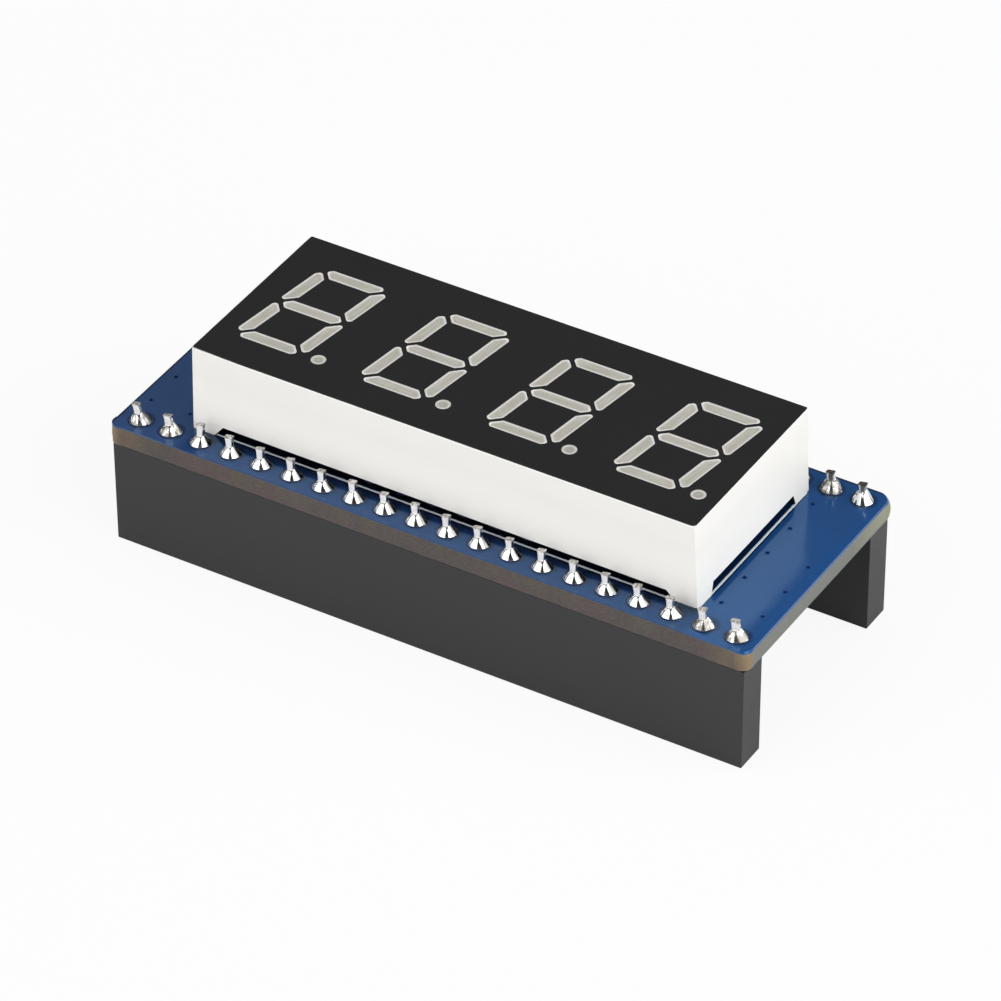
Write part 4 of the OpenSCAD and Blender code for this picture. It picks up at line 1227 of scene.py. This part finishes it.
def boardPiece():
    mesh = nodes["circuit_board"].data.copy()
    mesh.name = "blue_board"
    mend(mesh, merging["solid"], cutLevels)
    reshape(mesh, swollenCorners)
    flattenLevel(mesh, 25)
    dressPiece(bpy.data.objects.new("blue_board", mesh), "board", ["circuit_board"])


boardPiece()
print("board made")


# CAD nodes that keep their own mesh

kept = dict(
    socket_pads="pad", display_pads="pad", component_lands="pad",
    display_carrier_board="carrier", light_chips="crystal", front_display_pins="wire", rear_display_pins="wire",
    display_pin_solder="solder", left_register_body="chip", right_register_body="chip",
    left_register_leads="lead", right_register_leads="lead", resistor_bodies="resistor", resistor_ends="end",
    capacitor_bodies="capacitor", capacitor_ends="end", component_solder="solder",
)
for name, finishKey in kept.items():
    coat(nodes[name].data, finishKey)
print("CAD nodes painted:", len(kept))


# Camera, from the photograph's own angle

eye = dict(azimuth=0.55054, elevation=0.65112, roll=-0.0110, focal=6841.656, picture=1001, sensor=36.0,
           offset=(-0.08279, 5.17129, 483.86936))


def directions(turn, rise):
    # right, up and back of something that looks at the middle, from its turn round Z and its rise in radians
    back = np.array([math.sin(turn) * math.cos(rise), -math.cos(turn) * math.cos(rise), math.sin(rise)])
    right = np.array([math.cos(turn), math.sin(turn), 0])
    return right, np.cross(back, right), back


def placeObject(name, data, right, up, back, place):
    pose = np.eye(4)
    pose[:3] = np.array([right, up, back, place]).T
    placed = bpy.data.objects.new(name, data)
    placed.matrix_world = Matrix(pose.tolist())
    bpy.context.scene.collection.objects.link(placed)
    return placed


def placeCamera():
    # the camera's right, down and forward directions, then a small roll; its place solves world x turn = offset
    right, up, back = directions(eye["azimuth"], eye["elevation"])
    c, s = math.cos(eye["roll"]), math.sin(eye["roll"])
    rows = np.array([[c, -s, 0], [s, c, 0], [0, 0, 1]]) @ np.array([right, -up, -back])
    place = -rows.T @ np.array(eye["offset"]) * mm
    data = bpy.data.cameras.new("camera")
    data.sensor_width = eye["sensor"]
    data.lens = eye["focal"] * eye["sensor"] / eye["picture"]
    data.clip_start = 0.01
    bpy.context.scene.camera = placeObject("camera", data, rows[0], -rows[1], -rows[2], place)
    print("camera placed at", np.round(place, 4))


placeCamera()


# Lamps: a soft box on each side of the camera with a dark gap between them, and one overhead

lamps = dict(
    left=dict(turn=-60, rise=29, away=0.62, size=(1.0, 0.60), glow=1.62),
    right=dict(turn=60, rise=29, away=0.62, size=(1.0, 0.60), glow=2.40),
    top=dict(turn=170, rise=80, away=0.62, size=(0.45, 0.36), glow=0.8),
)


def placeLamp(name, turn, rise, away, size, glow):
    # turn is degrees round from the camera, rise degrees up, glow the brightness of its face
    right, up, back = directions(eye["azimuth"] + math.radians(turn), math.radians(rise))
    data = bpy.data.lights.new(name, "AREA")
    data.shape = "RECTANGLE"
    data.size, data.size_y = size
    data.energy = glow * math.pi * size[0] * size[1]
    placeObject(name, data, right, up, back, back * away)


for name, values in lamps.items():
    placeLamp(name + "_lamp", **values)


# Room light: dim, and dark behind the camera, which shows as dark streaks in the solder

room = dict(colour=(0.95, 0.97, 1.0), bright=0.21, dark=0.02, start=0.86, end=0.95, level=0.835, up=0.55)


def lightRoom():
    sky = bpy.data.worlds.new("studio")
    bpy.context.scene.world = sky
    sky.use_nodes = True
    air = Tree(sky.node_tree)
    background = sky.node_tree.nodes["Background"]
    turn = eye["azimuth"]
    towardsCamera = (math.sin(turn) * room["level"], -math.cos(turn) * room["level"], room["up"])
    direction = air.add("ShaderNodeTexCoord")
    facing = air.add("ShaderNodeVectorMath", dict(operation="DOT_PRODUCT"), {0: direction, 1: towardsCamera}, out=1)
    strength = air.add("ShaderNodeMapRange", sockets={
        "Value": facing, "From Min": room["start"], "From Max": room["end"], "To Min": room["bright"],
        "To Max": room["dark"]})
    air.feed(background.inputs["Color"], room["colour"])
    air.feed(background.inputs["Strength"], strength)


lightRoom()


# Floor: pale and plain. Part of its white comes from its own colour and part is seen by camera, gloss and glass

ground = dict(half=1.6, low=-0.0001, colour=(0.93, 0.93, 0.93), seen=0.90, mirrored=0.22)


def placeFloor():
    mesh = bpy.data.meshes.new("floor")
    mesh.from_pydata(lifted(square * ground["half"], 0.0).tolist(), [], [(0, 1, 2, 3)])
    floor = bpy.data.objects.new("floor", mesh)
    floor.location.z = ground["low"]
    bpy.context.scene.collection.objects.link(floor)
    paint = Paint("paleFloor")
    paint.shade(Base_Color=ground["colour"], Roughness=0.9, Specular_IOR_Level=0.0)
    rays = paint.add("ShaderNodeLightPath").socket.node
    through = Wire(paint, rays.outputs["Is Transmission Ray"])
    seen = Wire(paint, rays.outputs["Is Camera Ray"]).most(through) * ground["seen"]
    seen = seen.most(Wire(paint, rays.outputs["Is Glossy Ray"]) * ground["mirrored"])
    white = paint.add("ShaderNodeEmission", sockets={"Color": (1.0, 1.0, 1.0), "Strength": 1.0})
    paint.feed(paint.output.inputs["Surface"],
               paint.add("ShaderNodeMixShader", sockets={0: seen, 1: paint.shader, 2: white}))
    mesh.materials.append(paint.material)


placeFloor()
bpy.context.scene.view_settings.view_transform = "Standard"
print("stage set")
